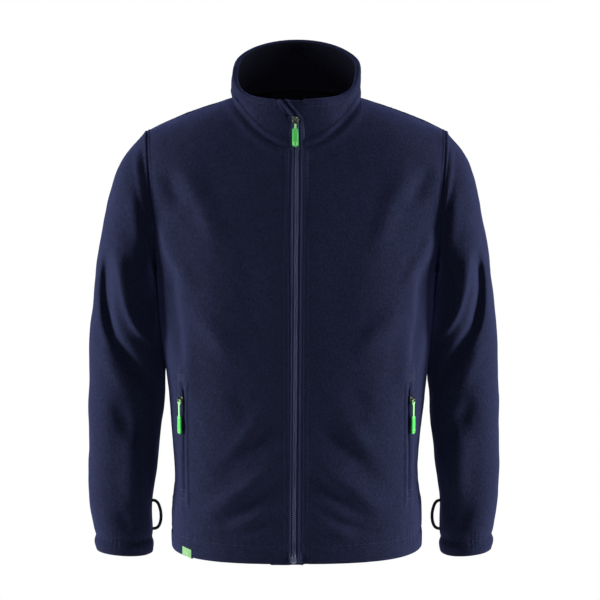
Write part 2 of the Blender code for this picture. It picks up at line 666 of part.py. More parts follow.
def united(name, base, others, finish, place):
    """One solid from meshes that share a local frame, set at its place."""
    obj = add_object(name, base, finish)
    obj.matrix_world = place
    for other in others:
        cutter = bpy.data.objects.new(other.name, other)
        GUIDES.objects.link(cutter)
        cutter.matrix_world = place
        cutter.hide_render = True
        cutter.display_type = "WIRE"
        union = obj.modifiers.new(other.name, "BOOLEAN")
        union.operation = "UNION"
        union.object = cutter
    return obj


def slider(name, place, kind, finish):
    half, long = SLIDER_WIDTH / 2, SLIDER_LENGTH / 2
    body = block(name, (-half, kind.face_depth, -long), (half, kind.back_depth, long), 0.7)
    reach = kind.bail_reach + kind.face_depth + 0.5
    turns = [math.radians(12 * k) for k in range(16)]
    arch = [Vector((0.0, kind.face_depth + 0.5 - reach * math.sin(t), 4.2 * math.cos(t))) for t in turns]
    bail = tube(name + "_bail", arch, BAIL_WIRE, 1)
    return united(name, body, [bail], finish, place)


def grip_outline():
    """The grip's outline below the neck: shouldered at the top, round at the foot."""
    arc = [math.radians(180 + 15 * k) for k in range(13)]
    foot = GRIP_HALF - GRIP_LENGTH
    sides = [(GRIP_HALF * math.cos(t), foot + GRIP_HALF * math.sin(t)) for t in arc]
    return sides + [(GRIP_HALF, -1.2), (GRIP_HALF - 1.2, 0.0), (1.2 - GRIP_HALF, 0.0), (-GRIP_HALF, -1.2)]


def pull(name, place, kind, finish):
    """A pull tab whose frame's X axis is the middle of the bar that hangs in the bail."""
    top, wide, neck = PULL_BAR, LINK_HALF_WIDTH, NECK_HALF
    eye = -PULL_HOLE - 1.3
    link = [(-wide, top), (-wide, eye), (-neck, eye - 1.2), (-neck, -kind.neck_end - 3.0)]
    link += [(-x, z) for x, z in reversed(link)]
    slot = wide - 1.3
    hole = [(-slot, -PULL_BAR), (-slot, -PULL_HOLE), (slot, -PULL_HOLE), (slot, -PULL_BAR)]
    body = plate(name, [link, hole], LINK_THICK)
    grip = plate(name + "_grip", [grip_outline()], GRIP_THICK)
    grip.transform(Matrix.Translation((0.0, 0.0, -kind.neck_end * MM)))
    return united(name, body, [grip], finish, place)


def hinge_place(place, kind):
    """The pull's frame: the slider's, moved out to the bar."""
    return place @ Matrix.Translation((0.0, -kind.hinge_depth * MM, 0.0))


# ---------------------------------------------------------------- the build
def clear():
    for obj in list(bpy.data.objects):
        bpy.data.objects.remove(obj, do_unlink=True)


def new_collection(name):
    collection = bpy.data.collections.new(name)
    bpy.context.scene.collection.children.link(collection)
    return collection


def build_cloth(fleece):
    """The fronts, back, sleeves and collar. It gives the fronts' and the collar's points."""
    fronts = {}
    for side, name in SIDES.items():
        outer, inner, neck_row = panel(-1, side)
        fronts[side] = (outer, inner, neck_row)
        wall("front_" + name, outer, inner, fleece, side=side)
        wall("sleeve_" + name, *sleeve(side), fleece, ring=True, side=side)
    outer, inner, neck_row = panel(1, 0)
    back = wall("back", outer, inner, fleece, open_rows=neck_row)
    mirror = back.modifiers.new("halves", "MIRROR")
    mirror.use_axis = (True, False, False)
    mirror.merge_threshold = 1e-5
    collar_walls = collar()
    wall("collar", *collar_walls, fleece)
    return fronts, collar_walls


def edge_at(grid, height):
    """The x of a wall's last column at a height."""
    column = [row[-1] for row in grid]
    for low, high in zip(column, column[1:]):
        if height <= high.z:
            break
    return blend(low.x, high.x, min(max((height - low.z) / (high.z - low.z), 0.0), 1.0))


def build_front_zip(fronts, collar_walls, finishes):
    """The tapes, the flap behind them, the chin guard over their top, the slider and the box."""
    outer, inner, neck_row = fronts[1]
    skin = skin_rows(outer, neck_row, collar_walls[0])
    lining = skin_rows(inner, neck_row, collar_walls[1])
    for side, name in SIDES.items():
        back = TAPE_INSET + TAPE_THICK
        bead = CHAIN_HALF_WIDTH
        columns = [
            (lambda z, s=side: at_height(ZIP_EDGES[s], z) - s * SEAM_GAP, skin, TAPE_INSET, skin, back),
            (lambda z, s=side: at_height(CHAIN_X, z) + s * (bead + 0.3), skin, TAPE_INSET, skin, back),
            (lambda z, s=side: at_height(CHAIN_X, z) + s * bead, skin, CHAIN_INSET, skin, back),
            (lambda z, s=side: at_height(CHAIN_X, z) + s * SEAM_GAP / 2, skin, CHAIN_INSET, skin, back),
        ]
        strip("zip_tape_" + name, HEM_HEIGHT, TAPE_TOP, columns, finishes["tape"])
    flap = [(lambda z, x=x: x, lining, FLAP_GAP, lining, FLAP_GAP + FLAP_THICK) for x in FLAP_X]
    strip("wind_flap", HEM_HEIGHT - FLAP_BELOW_HEM, FLAP_TOP, flap, finishes["fleece"])

    def guard_left(z):
        return max(edge_at(grid, z) for grid in collar_walls) + 2 * SEAM_GAP

    guard = [
        (guard_left, skin, GUARD_INSET, skin, COLLAR_CLOTH),
        (lambda z: ZIP_EDGES[-1][1], skin, GUARD_INSET, skin, COLLAR_CLOTH),
        (lambda z: ZIP_EDGES[1][1] - SEAM_GAP, skin, GUARD_INSET, skin, COLLAR_CLOTH),
    ]
    strip("chin_guard", GUARD_BOTTOM, GUARD_TOP, guard, finishes["fleece"])

    place = middle_frame(skin, SLIDER_X, SLIDER_HEIGHT)
    slider("zip_slider", place, MAIN_ZIP, finishes["slider"])
    pull("zip_pull", hinge_place(place, MAIN_ZIP), MAIN_ZIP, finishes["pull"])
    box = block("zip_box", BOX_LOW, BOX_HIGH, 0.4)
    united("zip_box", box, [], finishes["slider"], middle_frame(skin, CHAIN_X[0], BOX_HEIGHT))


def middle_frame(skin, x, height):
    """The frame of a fitting that lies on the skin down the middle of the front."""
    low, high = (Vector((x, skin_depth(skin, x, z), z)) for z in (height - 4.0, height + 4.0))
    up = high - low
    return frame_at(low.lerp(high, 0.5), Vector((0.0, up.z, -up.y)), Vector((1.0, 0.0, 0.0)))


def build_pockets(fronts, finishes):
    for side, name in SIDES.items():
        grid = fronts[side][0]
        heights = [s.height for s in BODY if POCKET_BOTTOM < s.height < POCKET_TOP]
        heights = [POCKET_BOTTOM] + heights + [POCKET_TOP]
        acrosses = (POCKET_ACROSS[0], sum(POCKET_ACROSS) / 2, POCKET_ACROSS[1])
        patch("pocket_zip_" + name, grid, acrosses, heights, WELT_THICK, finishes["fleece"], side)
        point, outward = on_panel(grid, POCKET_SLIDER_ACROSS, POCKET_SLIDER_HEIGHT, 0.0)
        point.x, outward.x = point.x * side, outward.x * side
        place = frame_at(point, -outward, Vector((1.0, 0.0, 0.0)))
        slider("pocket_slider_" + name, place, POCKET_ZIP, finishes["slider"])
        pull("pocket_pull_" + name, hinge_place(place, POCKET_ZIP), POCKET_ZIP, finishes["pull"])


def build_trim(fronts, finishes):
    acrosses = (LABEL_ACROSS[0], 7 / COLUMNS, LABEL_ACROSS[1])  # it lies over one of the front's columns
    heights = (LABEL_BOTTOM, LABEL_TOP)
    patch("hem_label", fronts[-1][0], acrosses, heights, LABEL_THICK, finishes["label"], -1)
    for side, name in SIDES.items():
        run = [Vector((side * x, LOOP_Y, z)) for x, z in LOOP_RUN]
        add_object("cuff_loop_" + name, tube("cuff_loop_" + name, run, LOOP_WIRE), finishes["cord"])


def main():
    finishes = {
        "fleece": material("navy_fleece", (0.017, 0.021, 0.052), 0.95),
        "tape": material("navy_zip_tape", (0.014, 0.017, 0.035), 0.7),
        "slider": material("painted_zinc", (0.05, 0.07, 0.04), 0.4, 0.6),
        "pull": material("green_moulded_grip", (0.06, 0.46, 0.06), 0.45),
        "label": material("green_woven_label", (0.22, 0.55, 0.16), 0.8),
        "cord": material("black_cord", (0.008, 0.008, 0.01), 0.85),
    }
    fronts, collar_walls = build_cloth(finishes["fleece"])
    build_front_zip(fronts, collar_walls, finishes)
    build_pockets(fronts, finishes)
    build_trim(fronts, finishes)


SIDES = {-1: "right", 1: "left"}  # the wearer's sides
clear()
GARMENT = new_collection("fleece_zip_jacket")
GUIDES = new_collection("guides")
main()
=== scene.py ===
"""Fleece zip jacket: its finishes, folds, seams, zips and studio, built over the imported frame.

Metres in Blender, millimetres in this script's tables. The front faces -Y and the wearer's left is +X.
"""

import logging
import math
from collections.abc import Callable, Sequence
from dataclasses import dataclass, field
from enum import Enum

import bmesh
import bpy
import numpy as np
from mathutils import Matrix, Vector
from mathutils.kdtree import KDTree


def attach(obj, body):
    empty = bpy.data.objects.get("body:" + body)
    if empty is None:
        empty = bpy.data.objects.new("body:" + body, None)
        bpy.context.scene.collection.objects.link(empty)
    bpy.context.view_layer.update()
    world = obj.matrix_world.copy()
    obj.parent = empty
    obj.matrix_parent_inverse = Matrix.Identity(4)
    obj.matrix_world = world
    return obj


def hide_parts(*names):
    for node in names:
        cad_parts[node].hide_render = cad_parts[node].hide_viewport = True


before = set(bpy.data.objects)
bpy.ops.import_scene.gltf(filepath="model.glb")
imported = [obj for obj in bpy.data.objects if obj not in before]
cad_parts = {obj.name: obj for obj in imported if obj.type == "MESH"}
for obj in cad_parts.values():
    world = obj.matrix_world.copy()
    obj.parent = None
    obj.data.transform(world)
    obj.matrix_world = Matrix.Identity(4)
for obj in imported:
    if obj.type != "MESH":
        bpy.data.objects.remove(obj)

LOG = logging.getLogger("jacket")
MM = 0.001
Grid = np.ndarray
Profile = Callable[[np.ndarray], np.ndarray]


class Side(Enum):
    """The wearer's sides, by the sign of x."""

    RIGHT = -1
    LEFT = 1

    @property
    def word(self) -> str:
        """The side's word in node names."""
        return self.name.lower()


class Face(Enum):
    """The way a panel faces, by the sign of y."""

    FRONT = -1
    BACK = 1


# ================================================================ studio
@dataclass(frozen=True)
class Softbox:
    """One rectangular light that looks at the jacket's middle."""

    name: str
    place: tuple[float, float, float]
    size: tuple[float, float]
    watts: float


@dataclass(frozen=True)
class Studio:
    """Camera, floor and soft lights."""

    elevation: float = 8.0  # degrees above the horizon
    distance: float = 3.2
    metre_per_pixel: float = 0.00154  # at the target
    frame_width: int = 600
    target: tuple[float, float, float] = (0.0054, 0.0, -0.311)
    floor_height: float = -1.45
    floor_radius: float = 1.9
    ambient: float = 0.035  # light of the surroundings on the jacket
    boxes: tuple[Softbox, ...] = (
        Softbox("softbox_left", (2.47, -0.3, -0.1), (0.8, 1.4), 150.0),
        Softbox("softbox_right", (-2.47, -0.3, -0.1), (0.8, 1.4), 150.0),
        Softbox("softbox_front", (0.15, -2.0, 2.3), (1.2, 1.0), 32.0),
        Softbox("softbox_back", (0.0, 3.0, 0.2), (2.4, 1.6), 34.0),
    )

    def build(self) -> None:
        """Make the floor, the surroundings and the lights, after the camera."""
        self.build_floor()
        self.build_surroundings()
        for box in self.boxes:
            self.build_light(box)

    def build_camera(self) -> None:
        """Place the camera so that the target has the stated scale."""
        data = bpy.data.cameras.new("camera")
        data.sensor_width = 36.0
        data.lens = data.sensor_width * self.distance / (self.metre_per_pixel * self.frame_width)
        camera = bpy.data.objects.new("camera", data)
        bpy.context.scene.collection.objects.link(camera)
        lift = math.radians(self.elevation)
        offset = Vector((0.0, -math.cos(lift), math.sin(lift))) * self.distance
        camera.location = Vector(self.target) + offset
        camera.rotation_euler = (math.radians(90.0) - lift, 0.0, 0.0)
        bpy.context.scene.camera = camera

    def build_floor(self) -> None:
        """A plain pale disc, far enough below to take no shadow edge."""
        shape = bmesh.new()
        bmesh.ops.create_circle(shape, cap_ends=True, segments=96, radius=self.floor_radius)
        bmesh.ops.translate(shape, vec=(0.0, 0.0, self.floor_height), verts=shape.verts)
        mesh = bpy.data.meshes.new("floor")
        shape.to_mesh(mesh)
        shape.free()
        mesh.materials.append(StudioPaper().build())
        floor = bpy.data.objects.new("floor", mesh)
        bpy.context.scene.collection.objects.link(floor)

    def build_surroundings(self) -> None:
        """White surroundings to look at, which light the jacket only a little, and plain colour handling."""
        world = bpy.data.worlds.new("surroundings")
        world.use_nodes = True
        tree = world.node_tree
        background = tree.nodes["Background"]
        background.inputs["Color"].default_value = (1.0, 1.0, 1.0, 1.0)
        seen = add_node(tree, "ShaderNodeLightPath").outputs["Is Camera Ray"]
        strength = add_node(
            tree, "ShaderNodeMapRange", {"To Min": self.ambient, "To Max": 1.0}, {"Value": seen}
        )
        tree.links.new(strength.outputs["Result"], background.inputs["Strength"])
        bpy.context.scene.world = world
        bpy.context.scene.view_settings.view_transform = "Standard"

    def build_light(self, box: Softbox) -> None:
        """Place one softbox.

        Args:
            box: its place, size and power.
        """
        data = bpy.data.lights.new(box.name, "AREA")
        data.shape = "RECTANGLE"
        data.size, data.size_y = box.size
        data.energy = box.watts
        light = bpy.data.objects.new(box.name, data)
        bpy.context.scene.collection.objects.link(light)
        light.location = box.place
        way = Vector(self.target) - Vector(box.place)
        light.rotation_euler = way.to_track_quat("-Z", "Y").to_euler()


# ================================================================ finishes
def linear(code: str) -> tuple[float, float, float, float]:
    """An sRGB hex colour as linear light.

    Args:
        code: six hex digits.

    Returns:
        Red, green, blue and alpha.
    """
    shares = [int(code[k : k + 2], 16) / 255.0 for k in (0, 2, 4)]
    light = [s / 12.92 if s <= 0.04045 else ((s + 0.055) / 1.055) ** 2.4 for s in shares]
    return (light[0], light[1], light[2], 1.0)


def add_node(
    tree: bpy.types.NodeTree, kind: str, settings: dict | None = None, links: dict | None = None
) -> bpy.types.Node:
    """Add a node with its settings and links.

    Args:
        tree: the tree that gets it.
        kind: the node's type name.
        settings: attributes by name, and socket values by name or number.
        links: input name or number to the output socket that feeds it.

    Returns:
        The node.
    """
    node = tree.nodes.new(kind)
    for name, value in (settings or {}).items():
        if isinstance(name, str) and hasattr(node, name):
            setattr(node, name, value)
        else:
            node.inputs[name].default_value = value
    for name, source in (links or {}).items():
        tree.links.new(source, node.inputs[name])
    return node


def new_material(name: str) -> tuple[bpy.types.Material, bpy.types.NodeTree, bpy.types.Node]:
    """A material with its tree and its shader."""
    made = bpy.data.materials.new(name)
    made.use_nodes = True
    return made, made.node_tree, made.node_tree.nodes["Principled BSDF"]


@dataclass(frozen=True)
class StudioPaper:
    """Matt white paper that fades into the white surroundings towards its rim."""

    colour: str = "F4F4F4"
    fade_start: float = 0.7
    fade_end: float = 1.85

    def build(self) -> bpy.types.Material:
        """Make the material."""
        made, tree, shader = new_material("white_paper")
        shader.inputs["Base Color"].default_value = linear(self.colour)
        shader.inputs["Roughness"].default_value = 1.0
        place = add_node(tree, "ShaderNodeTexCoord").outputs["Object"]
        split = add_node(tree, "ShaderNodeSeparateXYZ", {}, {0: place})
        level = add_node(tree, "ShaderNodeCombineXYZ", {}, {0: split.outputs["X"], 1: split.outputs["Y"]})
        away = add_node(tree, "ShaderNodeVectorMath", {"operation": "LENGTH"}, {0: level.outputs[0]})
        fade = add_node(
            tree,
            "ShaderNodeMapRange",
            {
                "From Min": self.fade_start, "From Max": self.fade_end, "To Min": 1.0, "To Max": 0.0,
                "interpolation_type": "SMOOTHSTEP"
            },
            {"Value": away.outputs["Value"]},
        )
        tree.links.new(fade.outputs["Result"], shader.inputs["Alpha"])
        return made


@dataclass(frozen=True)
class Fleece:
    """Brushed polyester fleece: a short raised pile that clumps, so it is matt, mottled and pale at grazing angles."""

    name: str = "brushed_fleece"
    deep: str = "0E1120"
    pale: str = "1F233B"
    sheen: float = 0.24
    clump_mm: float = 3.6  # size of the pile's clumps
    pile_mm: float = 1.3  # drawn coarser than the real pile, so that it shows
    relief_mm: float = 0.7

    def build(self) -> bpy.types.Material:
        """Make the material."""
        made, tree, shader = new_material(self.name)
        place = add_node(tree, "ShaderNodeTexCoord").outputs["Object"]
        clumps = add_node(
            tree, "ShaderNodeTexNoise",
            {"Scale": 1.0 / (self.clump_mm * MM), "Detail": 3.0, "Roughness": 0.6}, {"Vector": place}
        )
        pile = add_node(
            tree, "ShaderNodeTexNoise",
            {"Scale": 1.0 / (self.pile_mm * MM), "Detail": 2.0, "Roughness": 0.65}, {"Vector": place}
        )
        both = add_node(
            tree, "ShaderNodeMath", {"operation": "ADD"}, {0: clumps.outputs["Fac"], 1: pile.outputs["Fac"]}
        )
        share = add_node(
            tree, "ShaderNodeMapRange", {"From Min": 0.65, "From Max": 1.35, "To Min": 0.0, "To Max": 1.0},
            {"Value": both.outputs[0]}
        )
        colour = add_node(
            tree,
            "ShaderNodeMix",
            {"data_type": "RGBA", 6: linear(self.deep), 7: linear(self.pale)},
            {0: share.outputs["Result"]},
        )
        bump = add_node(
            tree, "ShaderNodeBump", {"Strength": 0.8, "Distance": self.relief_mm * MM},
            {"Height": both.outputs[0]}
        )
        tree.links.new(colour.outputs[2], shader.inputs["Base Color"])
        tree.links.new(bump.outputs["Normal"], shader.inputs["Normal"])
        shader.inputs["Roughness"].default_value = 1.0
        shader.inputs["Specular IOR Level"].default_value = 0.06
        shader.inputs["Sheen Weight"].default_value = self.sheen
        shader.inputs["Sheen Roughness"].default_value = 0.4
        shader.inputs["Sheen Tint"].default_value = linear("7B85D6")
        return made


@dataclass(frozen=True)
class Woven:
    """Narrow woven goods, such as zip tape, label or cord braid: fine ribs across a plain colour."""

    name: str
    colour: str
    shade: str
    rib_mm: float = 1.1
    relief_mm: float = 0.15
    roughness: float = 0.75

    def build(self) -> bpy.types.Material:
        """Make the material."""
        made, tree, shader = new_material(self.name)
        place = add_node(tree, "ShaderNodeTexCoord").outputs["Object"]
        ribs = add_node(
            tree,
            "ShaderNodeTexWave",
            {
                "wave_type": "BANDS", "bands_direction": "Z", "Scale": math.pi / (10.0 * self.rib_mm * MM),
                "Distortion": 0.6
            },
            {"Vector": place},
        )
        specks = add_node(
            tree, "ShaderNodeTexNoise", {"Scale": 1.0 / (2.0 * MM), "Detail": 2.0}, {"Vector": place}
        )
        share = add_node(
            tree, "ShaderNodeMath", {"operation": "MULTIPLY"},
            {0: ribs.outputs["Fac"], 1: specks.outputs["Fac"]}
        )
        colour = add_node(
            tree, "ShaderNodeMix", {"data_type": "RGBA", 6: linear(self.shade), 7: linear(self.colour)},
            {0: share.outputs[0]}
        )
        bump = add_node(
            tree, "ShaderNodeBump", {"Strength": 0.7, "Distance": self.relief_mm * MM},
            {"Height": ribs.outputs["Fac"]}
        )
        tree.links.new(colour.outputs[2], shader.inputs["Base Color"])
        tree.links.new(bump.outputs["Normal"], shader.inputs["Normal"])
        shader.inputs["Roughness"].default_value = self.roughness
        shader.inputs["Specular IOR Level"].default_value = 0.2
        shader.inputs["Sheen Weight"].default_value = 0.1
        return made


@dataclass(frozen=True)
class Moulded:
    """Injection-moulded plastic, such as zip teeth or a pull's grip: even colour, soft gloss, fine spark texture."""

    name: str
    colour: str
    roughness: float = 0.35
    grain_mm: float = 0.5

    def build(self) -> bpy.types.Material:
        """Make the material."""
        made, tree, shader = new_material(self.name)
        place = add_node(tree, "ShaderNodeTexCoord").outputs["Object"]
        grain = add_node(
            tree, "ShaderNodeTexNoise", {"Scale": 1.0 / (self.grain_mm * MM), "Detail": 2.0}, {"Vector": place}
        )
        gloss = add_node(
            tree,
            "ShaderNodeMapRange",
            {"To Min": self.roughness - 0.08, "To Max": self.roughness + 0.1},
            {"Value": grain.outputs["Fac"]},
        )
        bump = add_node(
            tree, "ShaderNodeBump", {"Strength": 0.25, "Distance": 0.05 * MM}, {"Height": grain.outputs["Fac"]}
        )
        tree.links.new(gloss.outputs["Result"], shader.inputs["Roughness"])
        tree.links.new(bump.outputs["Normal"], shader.inputs["Normal"])
        shader.inputs["Base Color"].default_value = linear(self.colour)
        shader.inputs["IOR"].default_value = 1.5
        return made


@dataclass(frozen=True)
class PaintedZinc:
    """Die-cast zinc with a dark lacquer: smooth, half glossy, paler in random blots."""

    name: str = "lacquered_zinc"
    colour: str = "1E221B"
    blot_colour: str = "7E8676"

    def build(self) -> bpy.types.Material:
        """Make the material."""
        made, tree, shader = new_material(self.name)
        place = add_node(tree, "ShaderNodeTexCoord").outputs["Object"]
        blots = add_node(
            tree, "ShaderNodeTexNoise", {"Scale": 1.0 / (2.5 * MM), "Detail": 4.0}, {"Vector": place}
        )
        share = add_node(
            tree, "ShaderNodeMapRange", {"From Min": 0.5, "From Max": 0.75}, {"Value": blots.outputs["Fac"]}
        )
        colour = add_node(
            tree, "ShaderNodeMix", {"data_type": "RGBA", 6: linear(self.colour), 7: linear(self.blot_colour)},
            {0: share.outputs["Result"]}
        )
        gloss = add_node(
            tree, "ShaderNodeMapRange", {"To Min": 0.28, "To Max": 0.45}, {"Value": blots.outputs["Fac"]}
        )
        tree.links.new(colour.outputs[2], shader.inputs["Base Color"])
        tree.links.new(gloss.outputs["Result"], shader.inputs["Roughness"])
        shader.inputs["Metallic"].default_value = 0.85
        return made


@dataclass
class Finishes:
    """The jacket's materials, each made once."""

    fleece: bpy.types.Material = field(default_factory=lambda: Fleece().build())
    # Near-black copy of the fleece for every inner face: painted shade inside the collar and the body.
    inside: bpy.types.Material = field(
        default_factory=lambda: Fleece(name="fleece_inside_painted_shade", deep="090A12", pale="11121D", sheen=0.03).build()
    )
    tape: bpy.types.Material = field(
        default_factory=lambda: Woven("woven_zip_tape", "232D58", "0E1433", 1.5).build()
    )
    # Near-black woven for the zip tapes' back faces: painted shade for the dark gaps beside the teeth.
    painted_tape_shade: bpy.types.Material = field(
        default_factory=lambda: Woven("pocket_zip_tape", "0D0F18", "07080C").build()
    )
    teeth: bpy.types.Material = field(default_factory=lambda: Moulded("acetal_teeth", "6A74A4", 0.32).build())
    thread: bpy.types.Material = field(
        default_factory=lambda: Moulded("polyester_thread", "1C2140", 0.8).build()
    )
    zinc: bpy.types.Material = field(default_factory=lambda: PaintedZinc().build())
    metal: bpy.types.Material = field(
        default_factory=lambda: PaintedZinc("plated_zinc", "565C74", "A4AABC").build()
    )
    grip: bpy.types.Material = field(default_factory=lambda: Moulded("green_soft_grip", "2FAE3C", 0.4).build())
    link: bpy.types.Material = field(default_factory=lambda: Moulded("pale_green_link", "8CC982", 0.35).build())
    label: bpy.types.Material = field(
        default_factory=lambda: Woven("green_woven_label", "8DB283", "63915A", 0.8).build()
    )
    cord: bpy.types.Material = field(
        default_factory=lambda: Woven("black_braided_cord", "0B0B0E", "040405", 1.6, 0.3).build()
    )


# ================================================================ small geometry
def mix(a: Grid | float, b: Grid | float, share: Grid | float) -> Grid:
    """A value between a and b, by its share of the way."""
    return a + (b - a) * share


def along(values: Grid, place: Grid) -> Grid:
    """Read a smooth curve through evenly spaced rows of values.

    Args:
        values: rows of numbers.
        place: where to read, from 0 to the last row's number.

    Returns:
        One row of numbers for each place.
    """
    last = len(values) - 1
    row = np.clip(place.astype(int), 0, last - 1)
    t = np.clip(place - row, 0.0, 1.0)[..., None]
    longer = np.concatenate([[2 * values[0] - values[1]], values, [2 * values[-1] - values[-2]]])
    before, start, end, after = (longer[row + k] for k in range(4))
    return start + 0.5 * t * (
        end - before + t * (2 * before - 5 * start + 4 * end - after + t * (3 * (start - end) + after - before))
    )


def power_wave(wave: Grid, power: Grid | float) -> Grid:
    """The sine or cosine of a squared-off circle."""
    return np.sign(wave) * np.abs(wave) ** (2.0 / power)


def stack(x: Grid, y: Grid, z: Grid) -> Grid:
    """Three grids of numbers as one grid of points."""
    return np.stack(np.broadcast_arrays(x, y, z), axis=-1)


def unit(ways: Grid) -> Grid:
    """The same ways at length 1."""
    return ways / np.maximum(np.linalg.norm(ways, axis=-1, keepdims=True), 1e-12)


def run_lengths(points: Grid, axis: int) -> Grid:
    """The length walked from the first point along one axis of a grid."""
    steps = np.linalg.norm(np.diff(points, axis=axis), axis=-1)
    start = np.zeros_like(np.take(steps, [0], axis=axis))
    return np.concatenate([start, np.cumsum(steps, axis=axis)], axis=axis)


def grid_normals(points: Grid, ring: bool) -> Grid:
    """Unit normals of a grid, out of its front where its columns run to the right and its rows run up.

    Args:
        points: the grid, rows first.
        ring: whether its columns close into a tube.

    Returns:
        A normal for each point.
    """
    if ring:
        sideways = np.roll(points, -1, axis=1) - np.roll(points, 1, axis=1)
    else:
        sideways = np.gradient(points, axis=1)
    return unit(np.cross(sideways, np.gradient(points, axis=0)))


def dense_line(points: Sequence | Grid, step: float) -> Grid:
    """A line's points at an even step."""
    line = np.asarray(points, float)
    length = run_lengths(line, 0)
    places = np.linspace(0.0, length[-1], max(int(length[-1] / step), 2))
    return np.stack([np.interp(places, length, line[:, k]) for k in range(line.shape[1])], axis=-1)


def smooth_line(points: Sequence | Grid, count: int) -> Grid:
    """A smooth curve through a few points, as count points."""
    line = np.asarray(points, float)
    return along(line, np.linspace(0.0, len(line) - 1, count))


def distance_to(points: Grid, line: Grid, step: float = 0.8) -> tuple[Grid, Grid, Grid]:
    """How far each point is from a line, and how far along the line its nearest place is.

    Args:
        points: any grid of points, in two or three dimensions.
        line: the line's points.
        step: how finely the line is read.

    Returns:
        The distances, the lengths walked, and the nearest places themselves.
    """
    fine = dense_line(line, step)
    walked = run_lengths(fine, 0)
    tree = KDTree(len(fine))
    flat_line = np.zeros((len(fine), 3))
    flat_line[:, : fine.shape[1]] = fine
    for number, place in enumerate(flat_line.tolist()):
        tree.insert(place, number)
    tree.balance()
    flat = np.zeros((points[..., 0].size, 3))
    flat[:, : points.shape[-1]] = points.reshape(-1, points.shape[-1])
    found = [tree.find(place)[1:] for place in flat.tolist()]
    nearest = np.array([number for number, _ in found])
    away = np.array([gap for _, gap in found])
    form = points.shape[:-1]
    return away.reshape(form), walked[nearest].reshape(form), nearest.reshape(form)


@dataclass(frozen=True)
class Waves:
    """Smooth unevenness from a seeded sum of plane waves."""

    seed: int
    longest: float
    shortest: float
    height: float
    count: int = 14

    def at(self, points: Grid) -> Grid:
        """The height at each point."""
        random = np.random.default_rng(self.seed)
        total = np.zeros(points.shape[:-1])
        for _ in range(self.count):
            way = random.normal(size=points.shape[-1])
            length = math.exp(random.uniform(math.log(self.shortest), math.log(self.longest)))
            way *= 2 * math.pi / (length * np.linalg.norm(way))
            total += np.sin(points @ way + random.uniform(0, 2 * math.pi))
        return total * self.height / math.sqrt(self.count / 2)


@dataclass(frozen=True)
class Crease:
    """One soft fold as it is seen from the front or from behind.

    Attributes:
        depth: how far it stands out, or dips below 0, in the middle of its run.
        width: how far its flank reaches on its left, walking along the run.
        far_width: the same on its right.
        run: x and z of its points, from one end to the other.
    """

    depth: float
    width: float
    far_width: float
    run: tuple[tuple[float, float], ...]
    fade: float = 0.42

    def at(self, x: Grid, z: Grid) -> Grid:
        """How far it pushes the cloth out at x, z."""
        line = smooth_line(self.run, 8 * len(self.run)) if len(self.run) > 2 else np.asarray(self.run, float)
        reach = 2.6 * max(self.width, self.far_width)
        low, high = line.min(axis=0) - reach, line.max(axis=0) + reach
        near = (x > low[0]) & (x < high[0]) & (z > low[1]) & (z < high[1])
        push = np.zeros(x.shape)
        if not near.any():
            return push
        points = np.stack([x[near], z[near]], axis=-1)
        away, walked, nearest = distance_to(points, line, 2.0)
        fine = dense_line(line, 2.0)
        ways = np.gradient(fine, axis=0)[nearest]
        offset = points - fine[nearest]
        left = ways[..., 0] * offset[..., 1] - ways[..., 1] * offset[..., 0]
        side = 0.5 + 0.5 * np.tanh(left / np.maximum(np.linalg.norm(ways, axis=-1), 1e-9) / (0.35 * self.width))
        share = walked / run_lengths(fine, 0)[-1]
        fade = np.clip(share / self.fade, 0.0, 1.0) * np.clip((1.0 - share) / self.fade, 0.0, 1.0)
        fade = fade * fade * (3.0 - 2.0 * fade)
        push[near] = self.depth * fade * np.exp(-((away / mix(self.far_width, self.width, side)) ** 2))
        return push


def groove(away: Grid, depth: float, width: float) -> Grid:
    """A seam or a row of stitches drawn into the cloth."""
    return -depth * np.exp(-((away / width) ** 2))


def puckers(away: Grid, walked: Grid, seed: int, height: float, pitch: float, reach: float) -> Grid:
    """Small waves that stitching pulls into the cloth beside it.

    Args:
        away: the distance from the seam.
        walked: the length along it.
        seed: of the waves' unevenness.
        height: of the waves at the seam.
        pitch: their usual spacing along it.
        reach: the distance in which they die out.

    Returns:
        The push outwards.
    """
    line = walked[..., None]
    drift = Waves(seed, 10 * pitch, 3 * pitch, 1.6, 6).at(line)
    strength = 0.6 + 0.4 * np.clip(Waves(seed + 1, 14 * pitch, 4 * pitch, 1.0, 6).at(line), -1.0, 1.0)
    return height * strength * np.exp(-away / reach) * np.sin(2 * math.pi * walked / pitch + drift)


class Edge(Enum):
    """An edge of a grid of cloth."""

    BOTTOM = "first row"
    TOP = "last row"
    INNER = "first column"
    OUTER = "last column"


